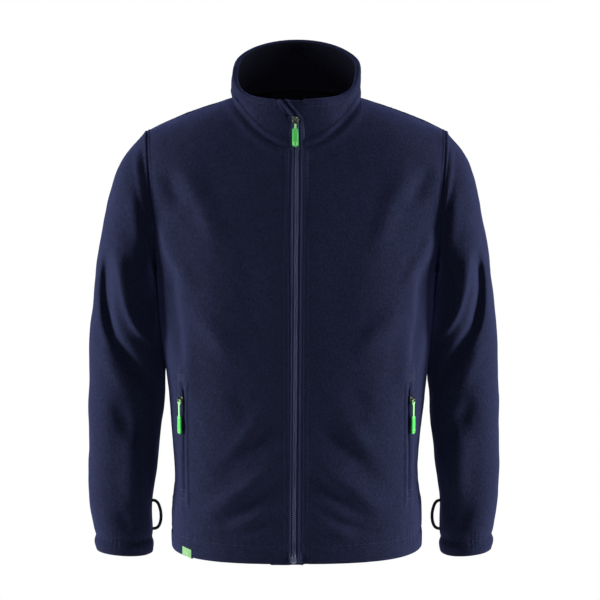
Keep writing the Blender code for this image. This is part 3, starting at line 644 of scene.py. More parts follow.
@dataclass
class Cloth:
    """A layer of cloth on a grid of points in millimetres.

    Attributes:
        outer: its outside, rows first, with the rows going up or outwards along the piece.
        inward: the way through it, at each point.
        thick: its thickness.
        ring: whether its columns close into a tube.
        rounded: its open edges, which are rolled round.
    """

    outer: Grid
    inward: Grid
    thick: float | Grid
    ring: bool = False
    rounded: tuple[Edge, ...] = ()
    relief: Grid | None = None  # shared by both faces
    detail: Grid | None = None  # of the outside only
    roll_steps: int = 5

    def faces_of(self) -> tuple[Grid, Grid]:
        """The finished outside and inside."""
        push = np.zeros(self.outer.shape[:2]) if self.relief is None else self.relief
        fine = np.zeros(self.outer.shape[:2]) if self.detail is None else self.detail
        outside = self.outer - self.inward * (push + fine)[..., None]
        inside = self.outer - self.inward * (push - self.thick * np.ones(push.shape))[..., None]
        return outside, inside

    def build(self, name: str) -> bpy.types.Mesh:
        """Make the closed mesh, its outside in slot 0 and its inside in slot 1.

        Args:
            name: the mesh's name.

        Returns:
            The mesh, in metres.
        """
        outside, inside = self.faces_of()
        rows, columns = outside.shape[:2]
        count = rows * columns
        points = [outside.reshape(-1, 3), inside.reshape(-1, 3)]
        index = np.arange(count).reshape(rows, columns)
        faces: list[tuple[int, ...]] = []
        slots: list[int] = []
        across = np.roll(index, -1, axis=1) if self.ring else index[:, 1:]
        near = index if self.ring else index[:, :-1]
        quads = np.stack([near[:-1], across[:-1], across[1:], near[1:]], axis=-1).reshape(-1, 4)
        faces += [tuple(q) for q in quads.tolist()]
        slots += [0] * len(quads)
        faces += [tuple(q) for q in (quads[:, ::-1] + count).tolist()]
        slots += [1] * len(quads)
        made = 2 * count
        profiles: dict[tuple[Edge, int], list[int]] = {}
        for edge in Edge:
            if self.ring and edge in (Edge.INNER, Edge.OUTER):
                continue
            line, beyond = {
                Edge.BOTTOM: (index[0], index[1]),
                Edge.TOP: (index[-1], index[-2]),
                Edge.INNER: (index[:, 0], index[:, 1]),
                Edge.OUTER: (index[:, -1], index[:, -2]),
            }[edge]
            rings = [line]
            if edge in self.rounded:
                flat_out, flat_in = outside.reshape(-1, 3), inside.reshape(-1, 3)
                top, bottom = flat_out[line], flat_in[line]
                away = unit((top - flat_out[beyond]) + (bottom - flat_in[beyond]))
                through = unit(top - bottom)
                radius = np.linalg.norm(top - bottom, axis=-1, keepdims=True) / 2
                away = unit(away - through * (away * through).sum(-1, keepdims=True))
                for k in range(1, self.roll_steps):
                    turn = math.pi * k / self.roll_steps
                    roll = (
                        (top + bottom) / 2 + (top - bottom) / 2 * math.cos(turn)
                        + away * radius * math.sin(turn)
                    )
                    points.append(roll)
                    rings.append(np.arange(made, made + len(line)))
                    made += len(line)
            rings.append(line + count)
            for a, b in zip(rings, rings[1:]):
                if self.ring:
                    a, b = np.append(a, a[0]), np.append(b, b[0])
                strip = np.stack([a[:-1], a[1:], b[1:], b[:-1]], axis=-1)
                faces += [tuple(q) for q in strip.tolist()]
                slots += [0] * len(strip)
            profiles[edge, 0] = [int(r[0]) for r in rings]
            profiles[edge, 1] = [int(r[-1]) for r in rings]
        if not self.ring:
            for row, row_end in ((Edge.BOTTOM, 0), (Edge.TOP, 0), (Edge.BOTTOM, 1), (Edge.TOP, 1)):
                column = Edge.INNER if row_end == 0 else Edge.OUTER
                first = profiles[row, row_end]
                second = profiles[column, 0 if row is Edge.BOTTOM else 1]
                loop = first + second[-2:0:-1]
                if len(first) == len(second) > 2:
                    for k in range(len(first) - 1):
                        corner = (first[k], first[k + 1], second[k + 1], second[k])
                        faces.append(tuple(dict.fromkeys(corner)))
                        slots.append(0)
                elif len(loop) > 2:
                    faces.append(tuple(loop))
                    slots.append(0)
        mesh = bpy.data.meshes.new(name)
        mesh.from_pydata((np.concatenate(points) * MM).tolist(), [], faces)
        mesh.polygons.foreach_set("material_index", slots)
        shape = bmesh.new()
        shape.from_mesh(mesh)
        bmesh.ops.recalc_face_normals(shape, faces=shape.faces)
        shape.to_mesh(mesh)
        shape.free()
        mesh.shade_smooth()
        return mesh


@dataclass(frozen=True)
class Sheet:
    """How a piece of cloth was cut: the flat box round it, its flat area and how it is held."""

    flat: tuple[float, float]
    area: float | None = None
    held: str = "hung"
    rests_on: tuple[str, ...] = ()


def add_piece(
    mesh: bpy.types.Mesh,
    materials: Sequence[bpy.types.Material],
    slot: str,
    replaces: Sequence[str] = (),
    body: str = "jacket",
    sheet: Sheet | None = None,
) -> bpy.types.Object:
    """Put a finished mesh in the scene on its body, and hide the frame's nodes that it stands for.

    Args:
        mesh: in metres, in the jacket's frame.
        materials: for its slots.
        slot: the record's material slot that it takes its finish from; not used.
        replaces: the nodes that it stands for.
        body: what it moves with.
        sheet: how it was cut, where it is a sheet of cloth.

    Returns:
        The object.
    """
    for material in materials:
        mesh.materials.append(material)
    piece = bpy.data.objects.new(mesh.name, mesh)
    bpy.context.scene.collection.objects.link(piece)
    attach(piece, body)
    if replaces:
        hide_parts(*replaces)
    if sheet:
        list(sheet.rests_on)
    LOG.info("%s: %d faces", piece.name, len(mesh.polygons))
    return piece


# ================================================================ the jacket's shape
BODY = np.array((  # height, half width, front, back
    (-690.5, 194.0, 138.5, 124.0), (-679.0, 196.0, 140.0, 126.0), (-664.0, 192.8, 137.3, 123.0),
    (-652.0, 194.8, 139.3, 125.0), (-628.0, 194.3, 139.5, 125.0), (-604.0, 190.3, 139.0, 123.5),
    (-572.0, 188.7, 138.5, 120.5), (-538.0, 190.5, 138.5, 118.0), (-498.0, 193.5, 139.5, 116.0),
    (-455.0, 196.8, 141.0, 115.5), (-405.0, 201.0, 143.0, 118.0), (-355.0, 205.5, 144.5, 122.0),
    (-308.0, 210.0, 145.5, 126.0), (-262.0, 213.0, 145.0, 129.0),
))
CHEST = np.array((  # height, depth
    (-262, 145), (-228, 142.5), (-192, 137), (-158, 129.5), (-128, 120.5), (-99, 110), (-71, 98),
), float)
SPINE = np.array((
    (-262, 129), (-222, 131), (-182, 129.5), (-142, 124), (-102, 114), (-62, 100), (-25, 84), (8, 68),
), float)
SLEEVE = np.array((  # outermost x, z, innermost x, z, reach to the front and to the back
    (227.0, -50.0, 213.0, -262.0, 72.0, 76.0), (230.3, -52.6, 214.2, -264.4, 72.8, 77.0),
    (233.8, -57.8, 215.6, -267.6, 73.6, 77.6), (241.5, -66.6, 216.5, -272.0, 74.8, 78.8),
    (253.5, -80.0, 216.0, -277.0, 76.6, 80.8), (264.0, -96.0, 215.2, -283.0, 78.2, 83.2),
    (273.7, -119.0, 214.5, -291.0, 79.4, 85.4), (280.7, -144.0, 213.7, -300.0, 79.8, 86.3),
    (286.8, -171.0, 212.8, -310.0, 79.6, 86.5), (292.3, -200.0, 211.8, -321.0, 79.0, 86.0),
    (297.3, -231.0, 210.7, -333.0, 77.0, 85.0), (302.0, -262.0, 209.5, -346.0, 74.5, 83.0),
    (305.5, -292.0, 208.2, -360.0, 72.0, 80.0), (308.8, -322.0, 206.6, -376.0, 69.0, 76.5),
    (313.0, -352.0, 205.0, -393.0, 66.0, 72.5), (315.5, -382.0, 203.5, -411.0, 63.5, 68.5),
    (316.5, -412.0, 203.2, -431.0, 61.5, 64.5), (316.5, -442.0, 203.8, -453.0, 60.0, 60.0),
    (317.5, -472.0, 205.0, -477.0, 59.0, 54.5), (318.0, -502.0, 207.8, -502.0, 58.0, 48.5),
    (319.0, -532.0, 212.0, -531.0, 57.0, 42.5), (319.5, -562.0, 215.8, -561.0, 55.5, 37.0),
    (318.5, -592.0, 220.5, -592.0, 54.0, 32.0), (317.5, -618.0, 223.8, -619.0, 52.5, 28.0),
    (315.0, -644.0, 224.5, -646.0, 51.0, 24.0), (312.0, -666.0, 223.7, -670.0, 49.5, 21.5),
    (310.0, -678.0, 224.8, -683.0, 46.5, 18.0), (312.5, -688.5, 223.2, -694.5, 49.0, 20.0),
    (310.0, -699.0, 224.8, -705.5, 48.0, 18.5),
))


@dataclass(frozen=True)
class Shape:
    """The jacket's surfaces, as functions of places on its pieces, in millimetres."""

    hem: float = -690.5
    underarm: float = -262.0
    neck_half_width: float = 98.5
    neck_front: float = 98.0
    neck_back: float = 68.0
    neck_front_drop: float = 71.0
    neck_back_rise: float = 8.0
    rim_half_width: float = 97.0
    rim_depth: float = 72.0
    rim_height: float = 43.0
    rim_tilt: float = 39.0
    rim_dips: tuple[float, float] = (6.0, 26.0)  # how far the rim sinks at the front, and more beside it
    shoulder_turn: float = math.radians(86)
    shoulder_tip: tuple[float, float, float] = (227.0, -6.0, -50.0)
    shoulder_crown: float = 2.5
    arm_middle_x: float = 220.0
    arm_lean: float = 7.0
    arm_hollow: float = 3.0
    arm_front: float = 72.0
    arm_back: float = 76.0
    side_power: float = 2.6
    sleeve_power: float = 2.25
    sleeve_reach: float = 4.6
    neck_climbs: tuple[float, float] = (6 / 12, 7 / 12)  # where the neckline starts, front and back
    zip_edges: tuple[tuple[float, float], tuple[float, float]] = ((-11.0, -11.5), (9.5, 11.5))
    chain: tuple[float, float] = (-4.0, 0.8)
    fold_rise: float = 0.55
    fold_x: float = 29.0

    def at_height(self, ends: tuple[float, float], height: Grid | float) -> Grid:
        """A value given at the hem and at the collar, read between them."""
        rise = (np.asarray(height, float) - self.hem) / (-self.neck_front_drop - self.hem)
        return mix(ends[0], ends[1], np.clip(rise, 0.0, 1.0))

    def zip_edge(self, side: Side, height: Grid | float) -> Grid:
        """The x of a front's edge at the zip."""
        return self.at_height(self.zip_edges[0 if side is Side.RIGHT else 1], height)

    def neckline(self, turn: Grid) -> Grid:
        """Points of the neckline, turn radians round from the middle of the front."""
        cosine, sine = np.cos(turn), np.sin(turn)
        depth = np.where(cosine > 0, self.neck_front, self.neck_back)
        height = np.where(cosine > 0, -self.neck_front_drop, self.neck_back_rise)
        return stack(self.neck_half_width * sine, -depth * cosine, height * cosine * cosine)

    def neckline_inward(self, turn: Grid) -> Grid:
        """The way through the cloth at the neckline."""
        cosine, sine = np.cos(turn), np.sin(turn)
        down = np.where(cosine > 0, 0.33 + 0.35 * sine**2, 0.15 + 0.53 * sine**2)
        return unit(stack(-sine, cosine, -down))

    def rim(self, turn: Grid) -> Grid:
        """Points of the collar's top edge."""
        cosine, sine = np.cos(turn), np.sin(turn)
        dip = np.clip(cosine, 0.0, 1.0) * (self.rim_dips[0] + self.rim_dips[1] * sine**2)
        return stack(
            self.rim_half_width * sine, -self.rim_depth * cosine, self.rim_height - self.rim_tilt * cosine - dip
        )

    def armhole(self, turn: Grid, face: Grid | float) -> Grid:
        """Points of the left armhole, turn radians down from the shoulder tip."""
        cosine, sine = np.cos(turn), np.sin(turn)
        tip_y, tip_z = self.shoulder_tip[1:]
        reach = np.where(np.asarray(face) < 0, self.arm_front, self.arm_back)
        middle = (tip_z + self.underarm) / 2
        return stack(
            self.arm_middle_x + self.arm_lean * cosine - self.arm_hollow * sine**2,
            tip_y * (1 + cosine) / 2 + face * reach * sine,
            middle + (tip_z - middle) * cosine,
        )

    def armhole_inward(self, turn: Grid, face: Grid | float) -> Grid:
        """The way through the cloth at the armhole, in its own plane."""
        step = 0.01
        run = self.armhole(turn + step, face) - self.armhole(turn - step, face)
        inward = unit(stack(0.0, run[..., 2], -run[..., 1]))
        here = self.armhole(turn, face)
        centre = stack(0.0, -here[..., 1], (self.shoulder_tip[2] + self.underarm) / 2 - here[..., 2])
        return np.where((inward * centre).sum(-1, keepdims=True) > 0, inward, -inward)

    def panel_places(self, spacing: float, climbs: int) -> Grid:
        """Places up a panel at an even height below the underarm, and climbs of them above it."""
        fine = np.linspace(0.0, 1.0, 2000)
        heights = along(BODY, fine * (len(BODY) - 1))[:, 0]
        wanted = np.linspace(self.hem, self.underarm, int((self.underarm - self.hem) / spacing))
        low = np.interp(wanted, heights, fine)
        return np.concatenate([low, 1.0 + np.arange(1, climbs + 1) / climbs])

    def panel(self, face: Face, edge: Profile, places: Grid, acrosses: Grid) -> Grid:
        """A panel's outside on the wearer's left.

        Args:
            face: front or back.
            edge: the x of its inner edge at a height.
            places: 0 at the hem, 1 at the underarm, 2 at the shoulder seam.
            acrosses: 0 at the inner edge, 1 at the outer.

        Returns:
            Its points, a row for each place.
        """
        sign = face.value
        place, across = np.meshgrid(places, acrosses, indexing="ij")
        low = along(BODY, np.clip(place, 0.0, 1.0) * (len(BODY) - 1))
        height, half_width, depth = low[..., 0], low[..., 1], low[..., 2 if sign < 0 else 3]
        climb = np.clip(place - 1.0, 0.0, 1.0)
        line = CHEST if sign < 0 else SPINE
        neck = self.neck_climbs[0 if sign < 0 else 1]
        middle = along(line, np.clip(climb / neck, 0.0, 1.0) * (len(line) - 1))
        start = math.asin(float(edge(line[-1, 0])) / self.neck_half_width)
        start = start if sign < 0 else math.pi - start
        turn = mix(start, self.shoulder_turn, np.clip((climb - neck) / (1 - neck), 0.0, 1.0))
        is_low, is_neck = (place <= 1.0)[..., None], (climb > neck)[..., None]
        inner = np.where(
            is_low,
            stack(edge(height), sign * depth, height),
            np.where(
                is_neck, self.neckline(turn), stack(edge(middle[..., 0]), sign * middle[..., 1], middle[..., 0])
            ),
        )
        outer = np.where(is_low, stack(half_width, 0.0, height), self.armhole(math.pi * (1 - climb), sign))
        eased = climb**2 / (climb + 0.1 * (1 - climb))  # starts level, so that no ridge runs round the chest
        sweep = np.radians(90 - 40 * eased**0.6)
        power = mix(self.side_power, 2.0, eased**0.5)
        sine = power_wave(np.sin(sweep * across) / np.sin(sweep), power)
        fall = np.maximum((np.cos(sweep * across) - np.cos(sweep)) / (1 - np.cos(sweep)), 0.0)
        cosine = power_wave(fall, power)
        point = stack(
            mix(inner[..., 0], outer[..., 0], sine),
            mix(outer[..., 1], inner[..., 1], cosine),
            mix(inner[..., 2], outer[..., 2], sine),
        )
        point[..., 0] += 1.7 * self.contact(point[..., 2]) * across**6
        arch = np.sin(math.pi * across)
        swell = arch * np.maximum(np.sin(math.pi * climb), 0.0) ** 1.2
        point[..., 2] += self.shoulder_crown * arch * climb**4
        if sign < 0:
            point[..., 1] -= 11.0 * swell
        else:
            point[..., 1] += 9.0 * swell
            point[..., 2] += 3.0 * arch * np.exp(-(((climb - 0.93) / 0.07) ** 2))
        return point

    def sleeve(
        self, side: Side, folds: Sequence[Crease], back_folds: Sequence[Crease], rings: Grid, turns: Grid
    ) -> Grid:
        """A sleeve's outside on the wearer's left.

        Args:
            side: for its folds and its reach.
            folds: seen from the front.
            back_folds: seen from behind.
            rings: 0 at the armhole, then down the rings of the table.
            turns: 0 at the outer side, then round by the front.

        Returns:
            Its points, a row for each ring.
        """
        place, turn = np.meshgrid(rings, turns, indexing="ij")
        face = np.where(turn <= math.pi, -1.0, 1.0)
        turn = np.where(turn <= math.pi, turn, 2 * math.pi - turn)
        ring = along(SLEEVE, place)
        settle = np.clip(place / 6, 0.0, 1.0)
        power = mix(2.0, self.sleeve_power, settle)
        cosine, sine = power_wave(np.cos(turn), power), power_wave(np.sin(turn), power)
        reach = np.where(face < 0, ring[..., 4], ring[..., 5])
        tip_y = self.shoulder_tip[1]
        point = stack(
            mix(ring[..., 2], ring[..., 0], (1 + cosine) / 2) - (1 - settle) * self.arm_hollow * sine**2,
            (1 - settle) * tip_y * (1 + cosine) / 2 + face * reach * sine,
            mix(ring[..., 3], ring[..., 1], (1 + cosine) / 2),
        )
        hole = self.armhole(turn, face)
        point = np.where((place < 1e-6)[..., None], hole, point)
        for sign, creases in ((-1.0, folds), (1.0, back_folds)):
            push = sum(crease.at(point[..., 0], point[..., 2]) for crease in creases)
            point[..., 1] += np.where(
                face == sign, sign * push * np.minimum(1.5 * sine, 1.0) * np.clip(place / 2, 0.0, 1.0), 0.0
            )
        point[..., 0] -= side.value * self.sleeve_reach * np.clip(place / 8, 0.0, 1.0) * (1 + cosine) / 2
        point[..., 0] -= 1.9 * self.contact(point[..., 2]) * ((1 - cosine) / 2) ** 2
        return point

    def contact(self, height: Grid) -> Grid:
        """Where the sleeve rests against the side, from 0 to 1."""
        return 1.0 / (1.0 + np.exp((height + 268.0) / 3.0)) / (1.0 + np.exp((-417.0 - height) / 6.0))

    def collar_turns(self, rises: Grid, count: int) -> Grid:
        """The turns of the collar's columns, from its left front edge round the back to its right one."""
        half_width = mix(self.neck_half_width, self.rim_half_width, rises)
        left = np.arcsin(self.zip_edges[1][1] / half_width)
        fold = np.clip(rises - self.fold_rise, 0.0, 1.0) / (1 - self.fold_rise)
        right = np.arcsin(mix(-self.zip_edges[0][1], self.fold_x, fold) / half_width)
        share = np.linspace(0.0, 1.0, count)
        return mix(left[:, None], (2 * math.pi - right)[:, None], share[None, :])

    def collar(self, turns: Grid, rises: Grid) -> Grid:
        """The collar's outside, without its folds."""
        rise = np.broadcast_to(rises[:, None], turns.shape)
        base, top = self.neckline(turns), self.rim(turns)
        side = np.sin(turns) ** 2
        inwards = rise ** mix(1.0, 0.5, side)
        point = stack(
            mix(base[..., 0], top[..., 0], inwards), mix(base[..., 1], top[..., 1], inwards),
            mix(base[..., 2], top[..., 2], rise)
        )
        return point + self.collar_outward(turns) * (side * np.sin(math.pi * rise))[..., None]

    def collar_outward(self, turns: Grid) -> Grid:
        """The way out of the collar, level."""
        return stack(np.sin(turns), -np.cos(turns), 0.0)


SHAPE = Shape()


def crease(depth: float, width: float, far_width: float, *run: tuple[float, float]) -> Crease:
    """A crease by its numbers."""
    return Crease(depth, width, far_width, run)


def fold(depth: float, width: float, far_width: float, fade: float, *run: tuple[float, float]) -> Crease:
    """A crease with its own fading at the ends."""
    return Crease(depth, width, far_width, run, fade)


FRONT_FOLDS = {
    Side.RIGHT: (
        fold(-5.0, 13, 13, 0.4, (198, -98), (186, -128), (168, -166)),
        fold(5.0, 15, 18, 0.4, (176, -84), (150, -136), (130, -172), (108, -226)),
        fold(4.0, 9, 15, 0.3, (203, -172), (187, -222), (172, -250), (152, -290)),
        fold(-5.0, 9, 10, 0.3, (187, -236), (185, -300), (179, -352), (170, -412)),
        fold(5.0, 15, 22, 0.45, (166, -290), (144, -316), (118, -346), (82, -392)),
        fold(3.0, 12, 12, 0.4, (168, -330), (161, -400), (154, -470)),
        fold(-1.8, 14, 18, 0.45, (104, -424), (84, -444), (60, -470)),
        fold(5.0, 14, 18, 0.45, (30, -436), (60, -480), (88, -518), (132, -566)),
        fold(-4.6, 15, 16, 0.4, (16, -470), (56, -504), (90, -532), (134, -580)),
        fold(6.5, 12, 15, 0.4, (14, -530), (60, -562), (98, -592), (156, -628)),
        fold(-4.0, 12, 12, 0.4, (14, -570), (60, -600), (100, -624), (146, -644)),
        fold(3.0, 8, 8, 0.4, (30, -604), (66, -624), (110, -640)),
        fold(-3.0, 8, 9, 0.4, (30, -626), (76, -642), (136, -654)),
        fold(-2.5, 30, 30, 0.45, (46, -160), (70, -250), (60, -380)),
    ),
    Side.LEFT: (
        fold(-5.0, 13, 13, 0.4, (204, -96), (188, -122), (170, -160)),
        fold(5.0, 18, 15, 0.4, (178, -88), (150, -134), (134, -168), (108, -236)),
        fold(4.0, 15, 9, 0.3, (204, -182), (191, -224), (175, -248), (154, -286)),
        fold(-5.0, 10, 9, 0.3, (186, -236), (186, -300), (181, -346), (173, -410)),
        fold(5.0, 22, 15, 0.45, (170, -290), (146, -318), (118, -342), (76, -382)),
        fold(3.0, 12, 12, 0.4, (168, -330), (162, -400), (158, -452)),
        fold(-2.2, 16, 16, 0.45, (70, -410), (88, -436), (112, -474)),
        fold(3.6, 14, 14, 0.45, (60, -450), (84, -488), (120, -548)),
        fold(-4.6, 15, 16, 0.4, (22, -458), (50, -496), (92, -534), (132, -586)),
        fold(6.5, 15, 12, 0.4, (8, -522), (48, -554), (86, -579), (146, -622)),
        fold(-3.8, 12, 12, 0.4, (10, -556), (46, -586), (84, -612), (136, -634)),
        fold(3.0, 8, 8, 0.4, (20, -578), (50, -600), (84, -616)),
        fold(-3.2, 8, 8, 0.4, (24, -602), (70, -630), (134, -652)),
        fold(2.6, 8, 8, 0.4, (24, -630), (56, -640), (92, -650)),
        fold(-2.5, 30, 30, 0.45, (44, -170), (66, -260), (52, -380)),
    ),
}
BACK_FOLDS = {
    Side.RIGHT: (
        crease(-5.1, 20, 19, (200, -100), (180, -150), (150, -190)),
        crease(5.1, 20, 23, (178, -96), (140, -160), (100, -220)),
        crease(4.8, 20, 22, (190, -260), (140, -300), (80, -330)),
        crease(-5.1, 20, 20, (188, -310), (130, -350), (60, -370)),
        crease(5.6, 20, 22, (180, -460), (120, -500), (40, -520)),
        crease(-5.1, 19, 20, (178, -500), (110, -545), (30, -560)),
        crease(5.1, 19, 17, (150, -590), (90, -612), (20, -622)),
    ),
    Side.LEFT: (
        crease(-5.1, 20, 19, (198, -110), (176, -160), (146, -205)),
        crease(5.1, 23, 20, (176, -104), (136, -172), (92, -232)),
        crease(4.8, 22, 20, (192, -274), (136, -320), (70, -344)),
        crease(-5.1, 20, 20, (186, -330), (120, -372), (50, -392)),
        crease(5.6, 22, 20, (182, -450), (124, -486), (56, -508)),
        crease(-5.1, 20, 19, (176, -486), (116, -526), (46, -546)),
        crease(5.1, 17, 19, (160, -576), (100, -604), (34, -616)),
    ),
}
SLEEVE_FRONT_FOLDS = {
    Side.RIGHT: (
        fold(
            3.2, 4.5, 11, 0.14, (239, -64), (238, -84), (235, -110), (230, -140), (223, -168), (216, -190),
            (211, -212), (208, -236)
        ),
        fold(-1.8, 5, 6, 0.4, (231, -62), (229, -92), (225, -122)),
        fold(6.0, 13, 12, 0.35, (246, -116), (240, -156), (234, -196), (228, -240)),
        fold(-4.0, 9, 9, 0.35, (222, -196), (219, -246), (222, -300), (230, -346)),
        fold(
            8.5, 8, 14, 0.25, (270, -216), (263, -250), (259, -284), (252, -316), (238, -344), (220, -366),
            (206, -390)
        ),
        fold(-9.5, 7, 8, 0.3, (278, -214), (284, -254), (285, -300), (280, -340), (268, -366)),
        fold(
            -9.5, 8, 10, 0.22, (280, -214), (285, -262), (286, -304), (280, -342), (266, -374), (248, -402),
            (230, -432), (214, -466)
        ),
        fold(4.0, 12, 14, 0.4, (296, -352), (284, -392), (262, -430), (246, -462)),
        fold(-4.0, 12, 13, 0.4, (276, -452), (262, -488), (248, -526)),
        fold(9.0, 24, 9, 0.35, (254, -486), (245, -540), (241, -594), (245, -650)),
        fold(-2.5, 9, 9, 0.4, (270, -626), (262, -646), (252, -668)),
    ),
    Side.LEFT: (
        fold(
            3.2, 4.5, 11, 0.14, (236, -64), (234, -84), (231, -112), (225, -142), (218, -170), (212, -192),
            (207, -216), (205, -240)
        ),
        fold(-1.8, 5, 6, 0.4, (229, -62), (227, -92), (223, -122)),
        fold(6.0, 13, 12, 0.35, (243, -118), (236, -158), (229, -200), (223, -244)),
        fold(-4.0, 9, 9, 0.35, (217, -200), (214, -248), (218, -300), (230, -340)),
        fold(
            8.5, 8, 14, 0.25, (266, -220), (258, -254), (254, -288), (246, -316), (232, -340), (216, -360),
            (202, -384)
        ),
        fold(-9.5, 7, 8, 0.3, (272, -216), (280, -256), (281, -300), (275, -338), (262, -364)),
        fold(
            -9.5, 8, 10, 0.22, (274, -216), (280, -264), (281, -300), (274, -338), (258, -368), (242, -396),
            (226, -422), (211, -452)
        ),
        fold(4.0, 12, 14, 0.4, (290, -346), (276, -384), (256, -424), (242, -452)),
        fold(-4.0, 12, 13, 0.4, (272, -446), (258, -480), (244, -516)),
        fold(9.0, 24, 9, 0.35, (256, -480), (246, -534), (240, -590), (244, -644)),
        fold(-2.5, 9, 9, 0.4, (268, -622), (260, -642), (250, -664)),
    ),
}
SLEEVE_BACK_FOLDS = {
    Side.RIGHT: (
        crease(7.0, 9, 9, (243, -78), (237, -118), (228, -158), (218, -200)),
        crease(-5.0, 9, 9, (232, -88), (227, -120), (221, -152)),
        crease(-5.0, 14, 14, (292, -330), (262, -372), (236, -396)),
        crease(-4.0, 13, 13, (290, -430), (262, -452), (240, -462)),
    ),
    Side.LEFT: (
        crease(7.0, 9, 9, (240, -80), (234, -120), (226, -160), (216, -202)),
        crease(-5.0, 9, 9, (229, -90), (224, -122), (219, -154)),
        crease(-5.0, 14, 14, (288, -322), (260, -362), (234, -388)),
        crease(-4.0, 13, 13, (286, -438), (258, -458), (238, -470)),
    ),
}
COLLAR_FOLDS = {
    Side.RIGHT: (
        crease(-3.5, 8, 8, (96, 20), (88, -8), (72, -30), (50, -48)),
        crease(2.5, 8, 8, (99, 2), (86, -22), (66, -44)),
    ),
    Side.LEFT: (
        crease(-3.5, 8, 8, (95, 22), (86, -10), (68, -34), (46, -52)),
        crease(2.5, 8, 8, (98, 0), (84, -26), (62, -48)),
    ),
}


# ================================================================ the pieces that a maker cuts
def spread(count: int, crowds: Sequence[tuple[float, float, float]]) -> Grid:
    """Shares from 0 to 1, closer together at some places.

    Args:
        count: how many steps.
        crowds: for each place, its middle, its reach and how many times closer it is.

    Returns:
        count + 1 shares.
    """
    fine = np.linspace(0.0, 1.0, 4000)
    density = 1.0 + sum(times * np.exp(-(((fine - middle) / reach) ** 4)) for middle, reach, times in crowds)
    total = np.concatenate([[0.0], np.cumsum((density[1:] + density[:-1]) / 2)])
    return np.interp(np.linspace(0.0, total[-1], count + 1), total, fine)


ENDS = ((0.0, 0.05, 1.2), (1.0, 0.05, 1.2))
POCKET = (0.59, 0.06, 2.2)
POCKET_SLIT = 169.4  # its x, over 0


def smoothed(grid: Grid, hold: Grid, rounds: int) -> Grid:
    """Even out a grid of points up and down its columns.

    Args:
        grid: the points.
        hold: from 0, free, to 1, kept as it is.
        rounds: how often.

    Returns:
        The new points.
    """
    result = grid.copy()
    for _ in range(rounds):
        middle = (result[2:] + result[:-2]) / 2
        result[1:-1] += (middle - result[1:-1]) * 0.5 * (1.0 - hold[1:-1, :, None])
    return result


